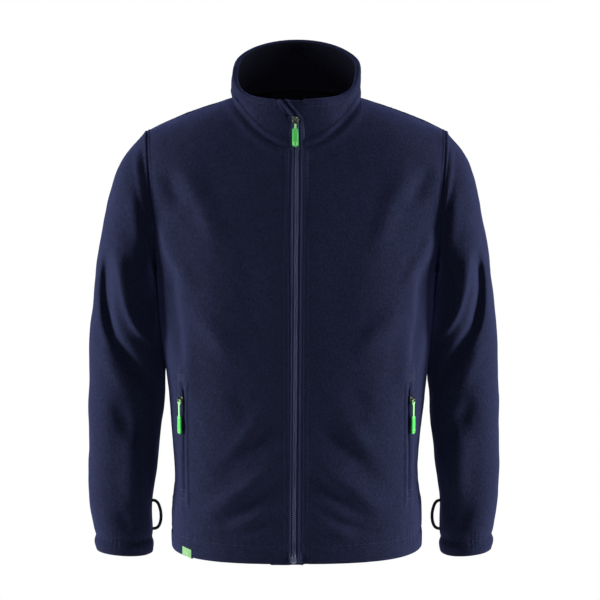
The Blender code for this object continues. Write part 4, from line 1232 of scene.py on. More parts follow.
@dataclass
class Panel:
    """What a front and half of the back share.

    Attributes:
        side: the wearer's side.
        face: front or back.
        thick: the fleece's thickness.
        roll: how far a turned edge is set back, for its roll.
    """

    side: Side
    face: Face = Face.FRONT
    thick: float = 3.0
    roll: float = 1.2
    spacing: float = 2.7
    climbs: int = 84
    columns: int = 116
    hem_stitch: float = -664.0
    edge_stitch: float = 5.5

    def folds(self) -> Sequence[Crease]:
        """The creases of this panel."""
        return (FRONT_FOLDS if self.face is Face.FRONT else BACK_FOLDS)[self.side]

    def edge(self, height: Grid | float) -> Grid:
        """The x of the inner edge, taken over 0."""
        if self.face is Face.BACK:
            return np.zeros_like(np.asarray(height, float))
        return np.abs(SHAPE.zip_edge(self.side, height)) + self.roll

    def shape(self) -> tuple[Grid, Grid, Grid]:
        """The panel's outside, the way through it and its relief, on the wearer's left.

        Returns:
            Points, ways and pushes.
        """
        sign = self.face.value
        places = SHAPE.panel_places(self.spacing, self.climbs)
        crowds = ENDS + (POCKET,) if self.face is Face.FRONT else ENDS
        points = SHAPE.panel(self.face, self.edge, places, spread(self.columns, crowds))
        low = len(places) - 1 - self.climbs
        neck = low + round(SHAPE.neck_climbs[0 if sign < 0 else 1] * self.climbs)
        hold = np.zeros(points.shape[:2])
        hold[:, -1] = 1.0
        hold[neck:, 0] = 1.0
        corner = np.linalg.norm(points - points[neck, 0], axis=-1)
        hold = np.maximum(hold, np.exp(-((corner / 45.0) ** 2)))
        points = smoothed(points, hold, 40)
        inward = grid_normals(points, False) * sign
        climb = places[low:] - 1.0
        hole_ways = SHAPE.armhole_inward(math.pi * (1 - climb), sign)
        arm, arm_walk, _ = distance_to(points, points[low:, -1])
        side, side_walk, _ = distance_to(points, points[: low + 1, -1])
        hem, hem_walk, _ = distance_to(points, points[0])
        shoulder, shoulder_walk, _ = distance_to(points, points[-1])
        collar, _, _ = distance_to(points, points[neck:, 0])
        zip_side, zip_walk, _ = distance_to(points, points[: neck + 1, 0])

        hold = np.exp(-arm / 6.0)[low:, :, None]
        inward[low:] = unit(mix(inward[low:], hole_ways[:, None, :], hold))
        inward[:low] = unit(mix(inward[:low], np.array((-1.0, 0.0, 0.0)), np.exp(-side / 5.0)[:low, :, None]))
        start = math.asin(float(self.edge(-SHAPE.neck_front_drop)) / SHAPE.neck_half_width)
        start = start if sign < 0 else math.pi - start
        turns = mix(
            start, SHAPE.shoulder_turn, (np.arange(neck, len(places)) - neck) / (len(places) - 1 - neck)
        )
        neck_ways = SHAPE.neckline_inward(turns)
        inward[neck:] = unit(mix(inward[neck:], neck_ways[:, None, :], np.exp(-collar / 5.0)[neck:, :, None]))
        flat = inward.copy()
        flat[..., 2] = 0.0
        inward = unit(mix(inward, unit(flat), np.exp(-hem / 6.0)[..., None]))
        flat = inward.copy()
        flat[..., 0] = 0.0
        inward = unit(mix(inward, unit(flat), np.exp(-zip_side / 6.0)[..., None]))

        calm = np.clip(np.minimum(np.minimum(arm, collar), shoulder) / 14.0, 0.0, 1.0)
        relief = sum(fold.at(points[..., 0], points[..., 2]) for fold in self.folds()) * mix(0.25, 1.0, calm)
        relief += Waves(11 + sign + 3 * self.side.value, 220, 90, 0.6).at(points) * calm
        relief += Waves(31 + sign + 3 * self.side.value, 44, 20, 0.13).at(points)
        if self.face is Face.FRONT:
            relief *= np.clip(zip_side / 10.0, 0.0, 1.0)
        relief += groove(points[..., 2] - self.hem_stitch, 1.2, 2.6)
        relief += puckers(np.abs(points[..., 2] - self.hem_stitch), hem_walk, 3, 0.5, 10.5, 9.0)
        relief += (
            puckers(side, side_walk, 5, 0.45, 12.0, 8.0) + puckers(shoulder, shoulder_walk, 6, 0.3, 9.0, 7.0)
        )
        relief += puckers(arm, arm_walk, 7, 0.35, 11.0, 9.0)
        detail = (
            groove(arm, 0.15, 0.6) - groove(arm - 2.8, 0.7, 1.5) + groove(arm - 6.2, 0.2, 1.0)
            + groove(side, 1.2, 1.8)
        )
        neck_ridge = groove(collar - 10.0, 1.3, 6.0) * np.clip(shoulder / 40.0, 0.0, 1.0)
        detail += groove(shoulder, 1.2, 1.8) + groove(collar, 0.8, 2.2) - neck_ridge
        if self.face is Face.FRONT:
            relief += puckers(zip_side, zip_walk, 9, 0.4, 9.5, 9.0)
            detail += groove(zip_side - self.edge_stitch, 0.8, 1.3)
            detail += self.pocket(points[..., 0], points[..., 2])
        self.seams = {"arm": arm, "side": side, "shoulder": shoulder, "collar": collar, "zip": zip_side}
        self.low, self.neck = low, neck
        return points, inward, np.stack([relief, detail])

    def pocket(self, x: Grid, z: Grid) -> Grid:
        """The pocket's folded lip, its opening and the pull of its stitches.

        Args:
            x: of the panel's points, over 0.
            z: their heights.

        Returns:
            The push outwards.
        """
        top, bottom = -400.0, -618.0
        beside = POCKET_SLIT - x
        ends = 1.0 / (1.0 + np.exp((z - top) / 5.0)) / (1.0 + np.exp((bottom - z) / 5.0))
        gap = 1.0 / (1.0 + np.exp((z + 432.0) / 2.5)) / (1.0 + np.exp((-592.0 - z) / 2.5))
        lip = 0.9 * np.exp(-(((beside + 5.0) / 3.0) ** 2)) + 0.5 * np.exp(-(((beside - 9.0) / 7.0) ** 2))
        stitch = -0.5 * np.exp(-(((beside + 9.5) / 1.6) ** 2))
        lens = 1.6 * np.exp(-(((beside + 4.0) / 4.2) ** 2) - ((z + 428.0) / 8.0) ** 2)
        return ends * (lip + stitch) + lens - gap * 3.0 * np.exp(-((beside / 1.6) ** 4))

    def topstitches(self, outside: Grid) -> list[Grid]:
        """The lines of its topstitching.

        Args:
            outside: its finished outside.

        Returns:
            The hem's line, and on a front the line beside the zip.
        """
        low = outside[: self.low]
        lines = [crossing(low.transpose(1, 0, 2), low[..., 2].T, self.hem_stitch)]
        if self.face is Face.FRONT:
            lines.append(crossing(outside[2 : self.neck], self.seams["zip"][2 : self.neck], self.edge_stitch))
        return lines

    def mirrored(self, points: Grid) -> Grid:
        """The same points or ways on this panel's own side."""
        return points * np.array((float(self.side.value), 1.0, 1.0))


@dataclass
class Front(Panel):
    """One front, from the zip's edge to the side seam."""

    def build(self, finishes: Finishes) -> Cloth:
        """Make the front.

        Args:
            finishes: the jacket's materials.

        Returns:
            Its cloth.
        """
        points, inward, (relief, detail) = self.shape()
        cloth = Cloth(
            self.mirrored(points), self.mirrored(inward), self.thick, rounded=(Edge.BOTTOM, Edge.INNER),
            relief=relief, detail=detail
        )
        outside = cloth.faces_of()[0]
        self.skin = Skin(outside[: self.low], cloth.inward[: self.low])
        self.stitches = self.topstitches(outside)
        name = "front_panel_" + self.side.word
        add_piece(
            cloth.build(name), (finishes.fleece, finishes.inside), "navy_fleece", ("front_" + self.side.word,),
            sheet=Sheet((0.30, 0.70), 0.165),
        )
        return cloth


@dataclass
class Back:
    """The back, in one piece."""

    thick: float = 3.0
    stitches: list[Grid] = field(default_factory=list)

    def build(self, finishes: Finishes) -> None:
        """Make the back from two halves that are one cloth.

        Args:
            finishes: the jacket's materials.
        """
        halves = [Panel(side, Face.BACK, columns=80) for side in Side]
        grids = [half.shape() for half in halves]
        weight = np.exp(-((grids[0][0][..., 0] / 22.0) ** 2))
        middle = (grids[0][2] + grids[1][2]) / 2
        whole = bmesh.new()
        for half, (points, inward, pushes) in zip(halves, grids):
            relief, detail = mix(pushes, middle, weight)
            cloth = Cloth(
                half.mirrored(points), half.mirrored(inward), self.thick, rounded=(Edge.BOTTOM,),
                relief=relief, detail=detail
            )
            self.stitches += half.topstitches(cloth.faces_of()[0])
            mesh = cloth.build("back_half")
            whole.from_mesh(mesh)
            bpy.data.meshes.remove(mesh)
        spine = [vert for vert in whole.verts if abs(vert.co.x) < 1e-6]
        bmesh.ops.remove_doubles(whole, verts=spine, dist=1e-6)
        inside = [face for face in whole.faces if all(abs(vert.co.x) < 1e-6 for vert in face.verts)]
        bmesh.ops.delete(whole, geom=inside, context="FACES_ONLY")
        bmesh.ops.recalc_face_normals(whole, faces=whole.faces)
        mesh = bpy.data.meshes.new("back_panel")
        whole.to_mesh(mesh)
        whole.free()
        mesh.shade_smooth()
        add_piece(
            mesh, (finishes.fleece, finishes.inside), "navy_fleece", ("back",), sheet=Sheet((0.62, 0.75), 0.40)
        )


@dataclass
class Sleeve:
    """One sleeve, set in at the armhole with a raised, topstitched allowance."""

    side: Side
    thick: float = 3.0
    rows: int = 232
    columns: int = 150
    cuff_stitch_ring: float = 26.0

    def build(self, finishes: Finishes) -> Cloth:
        """Make the sleeve.

        Args:
            finishes: the jacket's materials.

        Returns:
            Its cloth.
        """
        last = len(SLEEVE) - 1
        fine = np.linspace(0.0, last, 1500)
        middle = along(SLEEVE, fine)
        walk = run_lengths(middle[:, :2], 0)
        head = np.linspace(0.0, 14.0, 12)[:-1]
        wanted = np.concatenate([head, np.linspace(14.0, walk[-1], self.rows - 11)])
        rings = np.interp(wanted, walk, fine)
        turns = 2 * math.pi * spread(self.columns, ((0.34, 0.16, 1.3),))[:-1]
        points = SHAPE.sleeve(
            self.side, SLEEVE_FRONT_FOLDS[self.side], SLEEVE_BACK_FOLDS[self.side], rings, turns
        )
        inward = -grid_normals(points, True)
        face = np.where(turns <= math.pi, -1.0, 1.0)
        hole = SHAPE.armhole_inward(np.where(turns <= math.pi, turns, 2 * math.pi - turns), face)
        away = run_lengths(points, 0)
        inward = unit(mix(inward, hole[None], np.exp(-away / 5.0)[..., None]))
        stitch_row = int(np.argmin(np.abs(rings - self.cuff_stitch_ring)))
        ring_line = np.concatenate([points[stitch_row], points[stitch_row, :1]])
        cuff, cuff_walk, _ = distance_to(points, ring_line)
        flat = inward.copy()
        flat[..., 2] = 0.0
        end = away[-1] - away
        inward = unit(mix(inward, unit(flat), np.exp(-end / 6.0)[..., None]))
        calm = np.clip((away - 8.0) / 16.0, 0.0, 1.0)
        relief = Waves(71 + self.side.value, 160, 60, 0.7).at(points) * calm
        relief += Waves(81 + self.side.value, 40, 18, 0.14).at(points) * calm
        relief += groove(cuff, 1.0, 2.4) + puckers(cuff, cuff_walk, 15, 0.45, 9.5, 8.0)
        detail = groove(away, 0.15, 0.6) - groove(away - 2.8, 0.8, 1.5) + groove(away - 6.6, 0.3, 1.0)
        cloth = Cloth(
            points * np.array((float(self.side.value), 1.0, 1.0)),
            inward * np.array((float(self.side.value), 1.0, 1.0)),
            self.thick, ring=True, rounded=(Edge.TOP,), relief=relief, detail=detail,
        )
        outside = cloth.faces_of()[0]
        self.stitches = []
        columns = outside.transpose(1, 0, 2)
        ring_places = rings[None].repeat(self.columns, 0)
        for around in (crossing(columns, away.T, 6.6), crossing(columns, ring_places, self.cuff_stitch_ring)):
            self.stitches.append(np.concatenate([around, around[:1]]))
        add_piece(
            cloth.build("sleeve_tube_" + self.side.word), (finishes.fleece, finishes.inside), "navy_fleece",
            ("sleeve_" + self.side.word,), sheet=Sheet((0.44, 0.68), 0.215),
        )
        return cloth


@dataclass
class Collar:
    """The double stand-up collar."""

    thick: float = 4.3
    rows: int = 44
    columns: int = 260
    stitch_below_rim: float = 8.0
    rim_roll: float = 3.8  # how much thicker the turned layers make the rim

    def build(self, finishes: Finishes) -> Cloth:
        """Make the collar.

        Args:
            finishes: the jacket's materials.

        Returns:
            Its cloth.
        """
        rises = spread(self.rows, ((0.0, 0.08, 1.0), (1.0, 0.16, 1.0)))
        turns = SHAPE.collar_turns(rises, self.columns)
        points = SHAPE.collar(turns, rises)
        away = run_lengths(points, 0)
        base, rim = away, away[-1] - away
        pushes = np.zeros(turns.shape)
        for side in Side:
            mine = (points[..., 0] * side.value > 0) & (np.cos(turns) > 0)
            push = sum(fold.at(np.abs(points[..., 0]), points[..., 2]) for fold in COLLAR_FOLDS[side])
            pushes += np.where(mine, push, 0.0)
        pushes *= np.sin(math.pi * np.clip(rises * 1.15, 0.0, 1.0))[:, None]
        points = points + SHAPE.collar_outward(turns) * pushes[..., None]
        inward = -grid_normals(points, False)
        inward = unit(mix(inward, SHAPE.neckline_inward(turns), np.exp(-base / 5.0)[..., None]))
        for gap, axis in ((rim, 2), (run_lengths(points, 1), 0), (run_lengths(points[:, ::-1], 1)[:, ::-1], 0)):
            flat = inward.copy()
            flat[..., axis] = 0.0
            inward = unit(mix(inward, unit(flat), np.exp(-gap / 6.0)[..., None]))
        walk = run_lengths(points, 1)
        relief = Waves(91, 90, 35, 0.7).at(points) * np.clip(base / 10.0, 0.0, 1.0)
        relief += groove(rim - self.stitch_below_rim, 0.7, 1.8)
        relief += puckers(np.abs(rim - self.stitch_below_rim), walk, 17, 0.35, 9.0, 7.0)
        detail = (
            groove(base, 0.8, 2.0) - groove(base - 9.0, 1.5, 5.0) + puckers(base, walk, 19, 0.35, 10.0, 7.0)
        )
        ends = np.minimum(run_lengths(points, 1), run_lengths(points[:, ::-1], 1)[:, ::-1])
        roll = self.rim_roll * np.exp(-((rim / 9.0) ** 2)) * np.clip(ends / 30.0, 0.25, 1.0)
        detail -= groove(rim - 2.5, 0.5, 3.0)
        cloth = Cloth(
            points, inward, self.thick + roll, rounded=(Edge.TOP, Edge.INNER, Edge.OUTER), relief=relief,
            detail=detail, roll_steps=9
        )
        outside = cloth.faces_of()[0]
        self.stitches = [crossing(outside[::-1].transpose(1, 0, 2), rim[::-1].T, self.stitch_below_rim)]
        add_piece(
            cloth.build("collar_stand"), (finishes.fleece, finishes.inside), "navy_fleece", ("collar",),
            sheet=Sheet((0.56, 0.10), 0.045)
        )
        return cloth


# ================================================================ trim on the cloth
@dataclass
class Skin:
    """The finished outside of a front, to lay trim and hardware on.

    Attributes:
        outside: its points, rows going up.
        inward: the way through it.
    """

    outside: Grid
    inward: Grid

    def at(self, x: Grid, z: Grid) -> tuple[Grid, Grid]:
        """Points on the front below the armhole, and the ways into it.

        Args:
            x: how far out, over 0.
            z: their heights.

        Returns:
            Points and ways.
        """
        heights = self.outside[:, 0, 2]
        spots, ways = [], []
        for across, height in zip(np.ravel(x), np.ravel(z)):
            row = np.interp(height, heights, np.arange(len(heights)))
            low = min(int(row), len(heights) - 2)
            line = mix(self.outside[low], self.outside[low + 1], row - low)
            way = mix(self.inward[low], self.inward[low + 1], row - low)
            spots.append([np.interp(across, np.abs(line[:, 0]), line[:, k]) for k in range(3)])
            ways.append([np.interp(across, np.abs(line[:, 0]), way[:, k]) for k in range(3)])
        form = (*np.shape(x), 3)
        return np.reshape(spots, form), unit(np.reshape(ways, form))


def crossing(points: Grid, field: Grid, value: float) -> Grid:
    """The line where a field passes a value, one point for each row that has one.

    Args:
        points: a grid of points.
        field: a number at each.
        value: the one to find, from the first column on.

    Returns:
        The line's points.
    """
    line = []
    for row, numbers in zip(points, field):
        step = np.nonzero((numbers[:-1] - value) * (numbers[1:] - value) <= 0)[0]
        if len(step):
            k = step[0]
            share = (value - numbers[k]) / (numbers[k + 1] - numbers[k] + 1e-9)
            line.append(mix(row[k], row[k + 1], np.clip(share, 0.0, 1.0)))
    return np.array(line)


@dataclass
class Repeats:
    """One small rounded shape, set along lines by Geometry Nodes.

    Attributes:
        name: of the piece.
        pitch: its spacing, in millimetres.
        size: its sides: across, through and along the line.
        seed: of its small turns.
        turn: how far it turns at random, in radians.
    """

    name: str
    pitch: float
    size: tuple[float, float, float]
    seed: int = 1
    turn: float = 0.06

    def tree(self, material: bpy.types.Material) -> bpy.types.GeometryNodeTree:
        """Build the node tree.

        Args:
            material: of the shapes.

        Returns:
            The tree, with the pitch and the size as named inputs.
        """
        tree = bpy.data.node_groups.new(self.name, "GeometryNodeTree")
        sockets = (
            ("Lines", "NodeSocketGeometry"), ("Pitch", "NodeSocketFloat"), ("Size", "NodeSocketVector"),
            ("Seed", "NodeSocketInt")
        )
        for name, kind in sockets:
            tree.interface.new_socket(name, in_out="INPUT", socket_type=kind)
        tree.interface.new_socket("Shapes", in_out="OUTPUT", socket_type="NodeSocketGeometry")
        given = add_node(tree, "NodeGroupInput").outputs
        curves = add_node(tree, "GeometryNodeMeshToCurve", {}, {"Mesh": given["Lines"]})
        places = add_node(
            tree, "GeometryNodeResampleCurve", {"mode": "LENGTH"},
            {"Curve": curves.outputs["Curve"], "Length": given["Pitch"]}
        )
        tangent = add_node(tree, "GeometryNodeInputTangent").outputs["Tangent"]
        upright = add_node(tree, "FunctionNodeAlignRotationToVector", {"axis": "Z"}, {"Vector": tangent})
        wobble = add_node(
            tree,
            "FunctionNodeRandomValue",
            {"data_type": "FLOAT_VECTOR", 0: (-self.turn,) * 3, 1: (self.turn,) * 3},
            {"Seed": given["Seed"]},
        )
        turned = add_node(
            tree,
            "FunctionNodeRotateRotation",
            {"rotation_space": "LOCAL"},
            {"Rotation": upright.outputs["Rotation"], "Rotate By": wobble.outputs["Value"]},
        )
        cube = add_node(tree, "GeometryNodeMeshCube", {"Size": (1.25, 1.25, 1.12)})
        rounded = add_node(tree, "GeometryNodeSubdivisionSurface", {"Level": 1}, {"Mesh": cube.outputs["Mesh"]})
        instances = add_node(
            tree,
            "GeometryNodeInstanceOnPoints",
            {},
            {
                "Points": places.outputs["Curve"],
                "Instance": rounded.outputs["Mesh"],
                "Rotation": turned.outputs["Rotation"],
                "Scale": given["Size"],
            },
        )
        real = add_node(tree, "GeometryNodeRealizeInstances", {}, {"Geometry": instances.outputs["Instances"]})
        smooth = add_node(tree, "GeometryNodeSetShadeSmooth", {}, {"Geometry": real.outputs["Geometry"]})
        dressed = add_node(
            tree, "GeometryNodeSetMaterial", {"Material": material}, {"Geometry": smooth.outputs["Geometry"]}
        )
        result = add_node(tree, "NodeGroupOutput")
        tree.links.new(dressed.outputs["Geometry"], result.inputs["Shapes"])
        return tree

    def build(self, lines: Sequence[Grid], material: bpy.types.Material, slot: str) -> bpy.types.Object:
        """Set the shapes along the lines and make them a plain mesh.

        Args:
            lines: in millimetres.
            material: of the shapes.
            slot: the record's material slot.

        Returns:
            The piece.
        """
        points, edges = [], []
        for line in lines:
            edges += [(len(points) + k, len(points) + k + 1) for k in range(len(line) - 1)]
            points += (np.asarray(line) * MM).tolist()
        wire = bpy.data.meshes.new(self.name + "_lines")
        wire.from_pydata(points, edges, [])
        holder = bpy.data.objects.new(self.name + "_lines", wire)
        bpy.context.scene.collection.objects.link(holder)
        tree = self.tree(material)
        nodes = holder.modifiers.new(self.name, "NODES")
        nodes.node_group = tree
        inputs = {
            socket.name: socket.identifier for socket in tree.interface.items_tree if socket.in_out == "INPUT"
        }
        nodes[inputs["Pitch"]] = self.pitch * MM
        nodes[inputs["Size"]] = tuple(side * MM for side in self.size)
        nodes[inputs["Seed"]] = self.seed
        graph = bpy.context.evaluated_depsgraph_get()
        mesh = bpy.data.meshes.new_from_object(holder.evaluated_get(graph))
        holder.modifiers.remove(nodes)
        bpy.data.objects.remove(holder)
        mesh.name = self.name
        mesh.materials.clear()
        return add_piece(mesh, (material,), slot)


@dataclass(frozen=True)
class Loop:
    """A black elastic cord loop inside a wrist, sewn in at both ends."""

    side: Side
    diameter: float = 4.8
    depth: float = -11.0
    run: tuple[tuple[float, float], ...] = (  # x and z, as in the part's source
        (224.35, -624.0), (220.2, -624.4), (215.6, -628.5), (212.8, -636.0), (211.2, -644.0),
        (211.2, -652.5), (212.6, -660.0), (215.6, -666.0), (220.0, -668.6), (224.2, -669.0),
    )

    def build(self, finishes: Finishes) -> None:
        """Make the cord.

        Args:
            finishes: the jacket's materials.
        """
        route = np.array([(self.side.value * x, self.depth, z) for x, z in self.run])
        line = dense_line(smooth_line(route, 120), 1.0)
        piece = add_piece(
            tube("cuff_cord_" + self.side.word, line, self.diameter / 2, 20),
            (finishes.cord,), "black_cord", ("cuff_loop_" + self.side.word,),
        )
        length = float(run_lengths(line, 0)[-1]) * MM


def tube(name: str, line: Grid, radius: float, around: int) -> bpy.types.Mesh:
    """A closed round tube along a line, in metres.

    Args:
        name: the mesh's name.
        line: its centreline in millimetres.
        radius: in millimetres.
        around: faces round it.

    Returns:
        The mesh.
    """
    ways = unit(np.gradient(line, axis=0))
    across = unit(np.cross(ways, np.array((0.03, 1.0, 0.05))))
    over = np.cross(ways, across)
    turns = np.linspace(0.0, 2 * math.pi, around + 1)[:-1]
    rings = line[:, None] + radius * (
        across[:, None] * np.cos(turns)[:, None] + over[:, None] * np.sin(turns)[:, None]
    )
    shape = bmesh.new()
    rows = [[shape.verts.new(point * MM) for point in ring] for ring in rings]
    for low, high in zip(rows, rows[1:]):
        for k in range(around):
            shape.faces.new((low[k], low[k - 1], high[k - 1], high[k]))
    shape.faces.new(rows[0])
    shape.faces.new(rows[-1])
    bmesh.ops.recalc_face_normals(shape, faces=shape.faces)
    mesh = bpy.data.meshes.new(name)
    shape.to_mesh(mesh)
    shape.free()
    mesh.shade_smooth()
    mesh.set_sharp_from_angle(angle=math.radians(50))
    return mesh


# ================================================================ down the middle of the front
def middle_depth(height: Grid | float) -> Grid:
    """How far in front of the middle plane the skin lies beside the zip."""
    fine = np.linspace(0.0, 1.0, 900)
    low, chest = along(BODY, fine * (len(BODY) - 1)), along(CHEST, fine * (len(CHEST) - 1))
    top = float(SHAPE.rim(0.0)[2])
    heights = np.concatenate([low[:, 0], chest[1:, 0], [top]])
    depths = np.concatenate([low[:, 2], chest[1:, 1], [SHAPE.rim_depth]])
    return np.interp(height, heights, depths)


def strip(heights: Grid, across: Grid, depth: Grid, thick: float, rounded: tuple[Edge, ...]) -> Cloth:
    """Cloth down the middle of the front.

    Args:
        heights: of its points.
        across: their x, growing to the wearer's left.
        depth: how far behind the skin its outside lies.
        thick: its thickness.
        rounded: its rolled edges.

    Returns:
        The cloth.
    """
    points = stack(across, depth - middle_depth(heights), heights)
    return Cloth(points, -grid_normals(points, False), thick, rounded=rounded)


TAPE_PROFILES = {  # how far from the chain, and how far behind the skin
    Side.RIGHT: (
        (2.2, 3.4), (3.9, 4.4), (4.7, 3.2), (5.4, 1.0), (6.4, 0.5), (7.6, 1.0), (8.1, 1.5), (14.0, 1.5)
    ),
    Side.LEFT: (
        (2.2, 3.2), (3.6, 4.6), (5.2, 4.6), (6.2, 2.4), (7.0, 1.2), (9.6, 0.9), (11.2, 1.5), (14.0, 1.5)
    ),
}


@dataclass
class Tape:
    """One side of the front zip's tape, with its woven ridge beside the teeth."""

    side: Side
    thick: float = 1.3
    top: float = -24.6
    under: float = 0.05  # short of the front's edge
    profile: tuple[tuple[float, float], ...] = ()  # from the teeth out, and behind the skin

    def build(self, finishes: Finishes) -> None:
        """Make the tape.

        Args:
            finishes: the jacket's materials.
        """
        sign = self.side.value
        heights = np.linspace(SHAPE.hem, self.top, 260)
        chain = SHAPE.at_height(SHAPE.chain, heights)
        width = np.abs(SHAPE.zip_edge(self.side, heights) - chain) - self.under
        shares = np.linspace(0.0, 1.0, 25)
        away = mix(2.2, width[:, None], shares[None, :])
        depth = np.interp(away, *np.array(self.profile).T)
        depth += Waves(41 + sign, 60, 25, 0.12, 8).at(stack(away, 0.0, heights[:, None]))
        across = chain[:, None] + sign * away
        if sign < 0:
            across, depth = across[:, ::-1], depth[:, ::-1]
        cloth = strip(
            np.broadcast_to(heights[:, None], across.shape), across, depth, self.thick, (Edge.INNER, Edge.OUTER)
        )
        mesh = cloth.build("front_zip_tape_" + self.side.word)
        # Slot 1, the tape's back faces, takes the near-black painted shade.
        add_piece(
            mesh, (finishes.tape, finishes.painted_tape_shade), "navy_zip_tape", ("zip_tape_" + self.side.word,),
            sheet=Sheet((0.0102, 0.671), held="stretched"),
        )


@dataclass
class FrontZip:
    """The open-ended front zip's tapes, teeth, flap and guard; its slider, pull and box are made with the hardware."""

    pitch: float = 3.15
    tooth: tuple[float, float, float] = (2.8, 1.8, 1.15)
    teeth_depth: float = 1.5
    teeth_top: float = -37.0

    def build(self, finishes: Finishes) -> None:
        """Make the tapes, the teeth, the wind flap and the chin guard.

        Args:
            finishes: the jacket's materials.
        """
        for side, profile in TAPE_PROFILES.items():
            Tape(side, profile=profile).build(finishes)
        self.build_teeth(finishes)
        self.build_flap(finishes)
        self.build_guard(finishes)

    def build_teeth(self, finishes: Finishes) -> None:
        """Two rows of interlocked teeth on the chain.

        Args:
            finishes: the jacket's materials.
        """
        lines = []
        for side in Side:
            half_step = self.pitch / 2 if side is Side.LEFT else 0.0
            heights = np.linspace(SHAPE.hem + 9.0, self.teeth_top, 200) + half_step
            chain = SHAPE.at_height(SHAPE.chain, heights)
            lines.append(stack(chain + side.value * 1.55, self.teeth_depth - middle_depth(heights), heights))
        Repeats(
            "front_zip_teeth", self.pitch, self.tooth, turn=0.03
        ).build(lines, finishes.teeth, "navy_zip_tape")

    def build_flap(self, finishes: Finishes) -> None:
        """The wind flap behind the zip.

        Args:
            finishes: the jacket's materials.
        """
        heights = np.linspace(-693.3, -4.0, 240)
        across = np.linspace(-38.0, 9.5, 27)
        grid_height, grid_across = np.meshgrid(heights, across, indexing="ij")
        lining = np.where(grid_height > -71.0, 4.3, 3.0)
        depth = (
            lining + 0.7 + 0.5 * np.exp(-(((grid_across + 30.0) / 6.0) ** 2))
            + 2.2 * np.exp(-(((grid_across + 1.0) / 8.5) ** 4))
        )
        bulge = np.abs(grid_across) / 60.0
        cloth = strip(
            grid_height, grid_across, depth + bulge, 2.5, (Edge.BOTTOM, Edge.TOP, Edge.INNER, Edge.OUTER)
        )
        cloth.relief = Waves(51, 90, 30, 0.25).at(cloth.outer)
        add_piece(
            cloth.build("wind_flap_behind_zip"), (finishes.fleece, finishes.inside), "navy_fleece",
            ("wind_flap",),
            sheet=Sheet((0.0475, 0.71), held="hung"),
        )

    def build_guard(self, finishes: Finishes) -> None:
        """The chin guard: the collar's corner folded over the zip's top in a double roll.

        Args:
            finishes: the jacket's materials.
        """
        shares = np.linspace(0.0, 1.0, 46)
        rises = np.linspace(0.0, 1.0, 40)
        share, rise = np.meshgrid(shares, rises, indexing="xy")
        top = -2.8 + 1.0 * np.sin(math.pi * share) - 0.6 * share
        bottom = mix(-18.5, -26.5, np.clip(share * 1.25, 0.0, 1.0) ** 0.8)
        height = mix(bottom, top, rise)
        collar_rise = np.clip(
            (height + SHAPE.neck_front_drop) / (SHAPE.rim(0.0)[2] + SHAPE.neck_front_drop), 0.0, 1.0
        )
        fold = np.clip(collar_rise - SHAPE.fold_rise, 0.0, 1.0) / (1 - SHAPE.fold_rise)
        left = -mix(-SHAPE.zip_edges[0][1], SHAPE.fold_x, fold) + 0.9
        across = mix(left, 11.1, share)
        slant = (across - left) * 0.83
        slant = slant - 5.0 * (1.0 - rise)
        ridges = 3.0 * np.exp(-(((slant - 3.4) / 2.4) ** 2)) + 2.4 * np.exp(-(((slant - 10.6) / 2.6) ** 2))
        hollows = 1.2 * np.exp(-(((slant - 7.2) / 1.5) ** 2))
        cloth = strip(
            height, across, np.full(height.shape, 0.9), 3.4, (Edge.BOTTOM, Edge.TOP, Edge.INNER, Edge.OUTER)
        )
        cloth.detail = ridges - hollows
        cloth.relief = Waves(61, 30, 10, 0.2).at(cloth.outer)
        add_piece(
            cloth.build("zip_garage"), (finishes.fleece, finishes.inside), "navy_fleece", ("chin_guard",),
            sheet=Sheet((0.042, 0.031), held="folded"),
        )


# ================================================================ hardware
def round_corners(
    outline: Sequence[tuple[float, float]], radius: float, steps: int = 4
) -> list[tuple[float, float]]:
    """A closed outline with its corners cut round.

    Args:
        outline: its corners.
        radius: how far from each corner the curve starts, at most.
        steps: points in each curve, less one.

    Returns:
        The new outline.
    """
    corners = np.array(outline, float)
    result = []
    for before, here, after in zip(np.roll(corners, 1, axis=0), corners, np.roll(corners, -1, axis=0)):
        ends = []
        for other in (before, after):
            length = float(np.linalg.norm(other - here))
            ends.append(here + (other - here) * min(radius / length, 0.48))
        for k in range(steps + 1):
            t = k / steps
            result.append(tuple((1 - t) ** 2 * ends[0] + 2 * t * (1 - t) * here + t * t * ends[1]))
    return result


def disc(x: float, z: float, radius: float, count: int = 20) -> list[tuple[float, float]]:
    """A circle's outline."""
    turns = [2 * math.pi * k / count for k in range(count)]
    return [(x + radius * math.cos(t), z + radius * math.sin(t)) for t in turns]


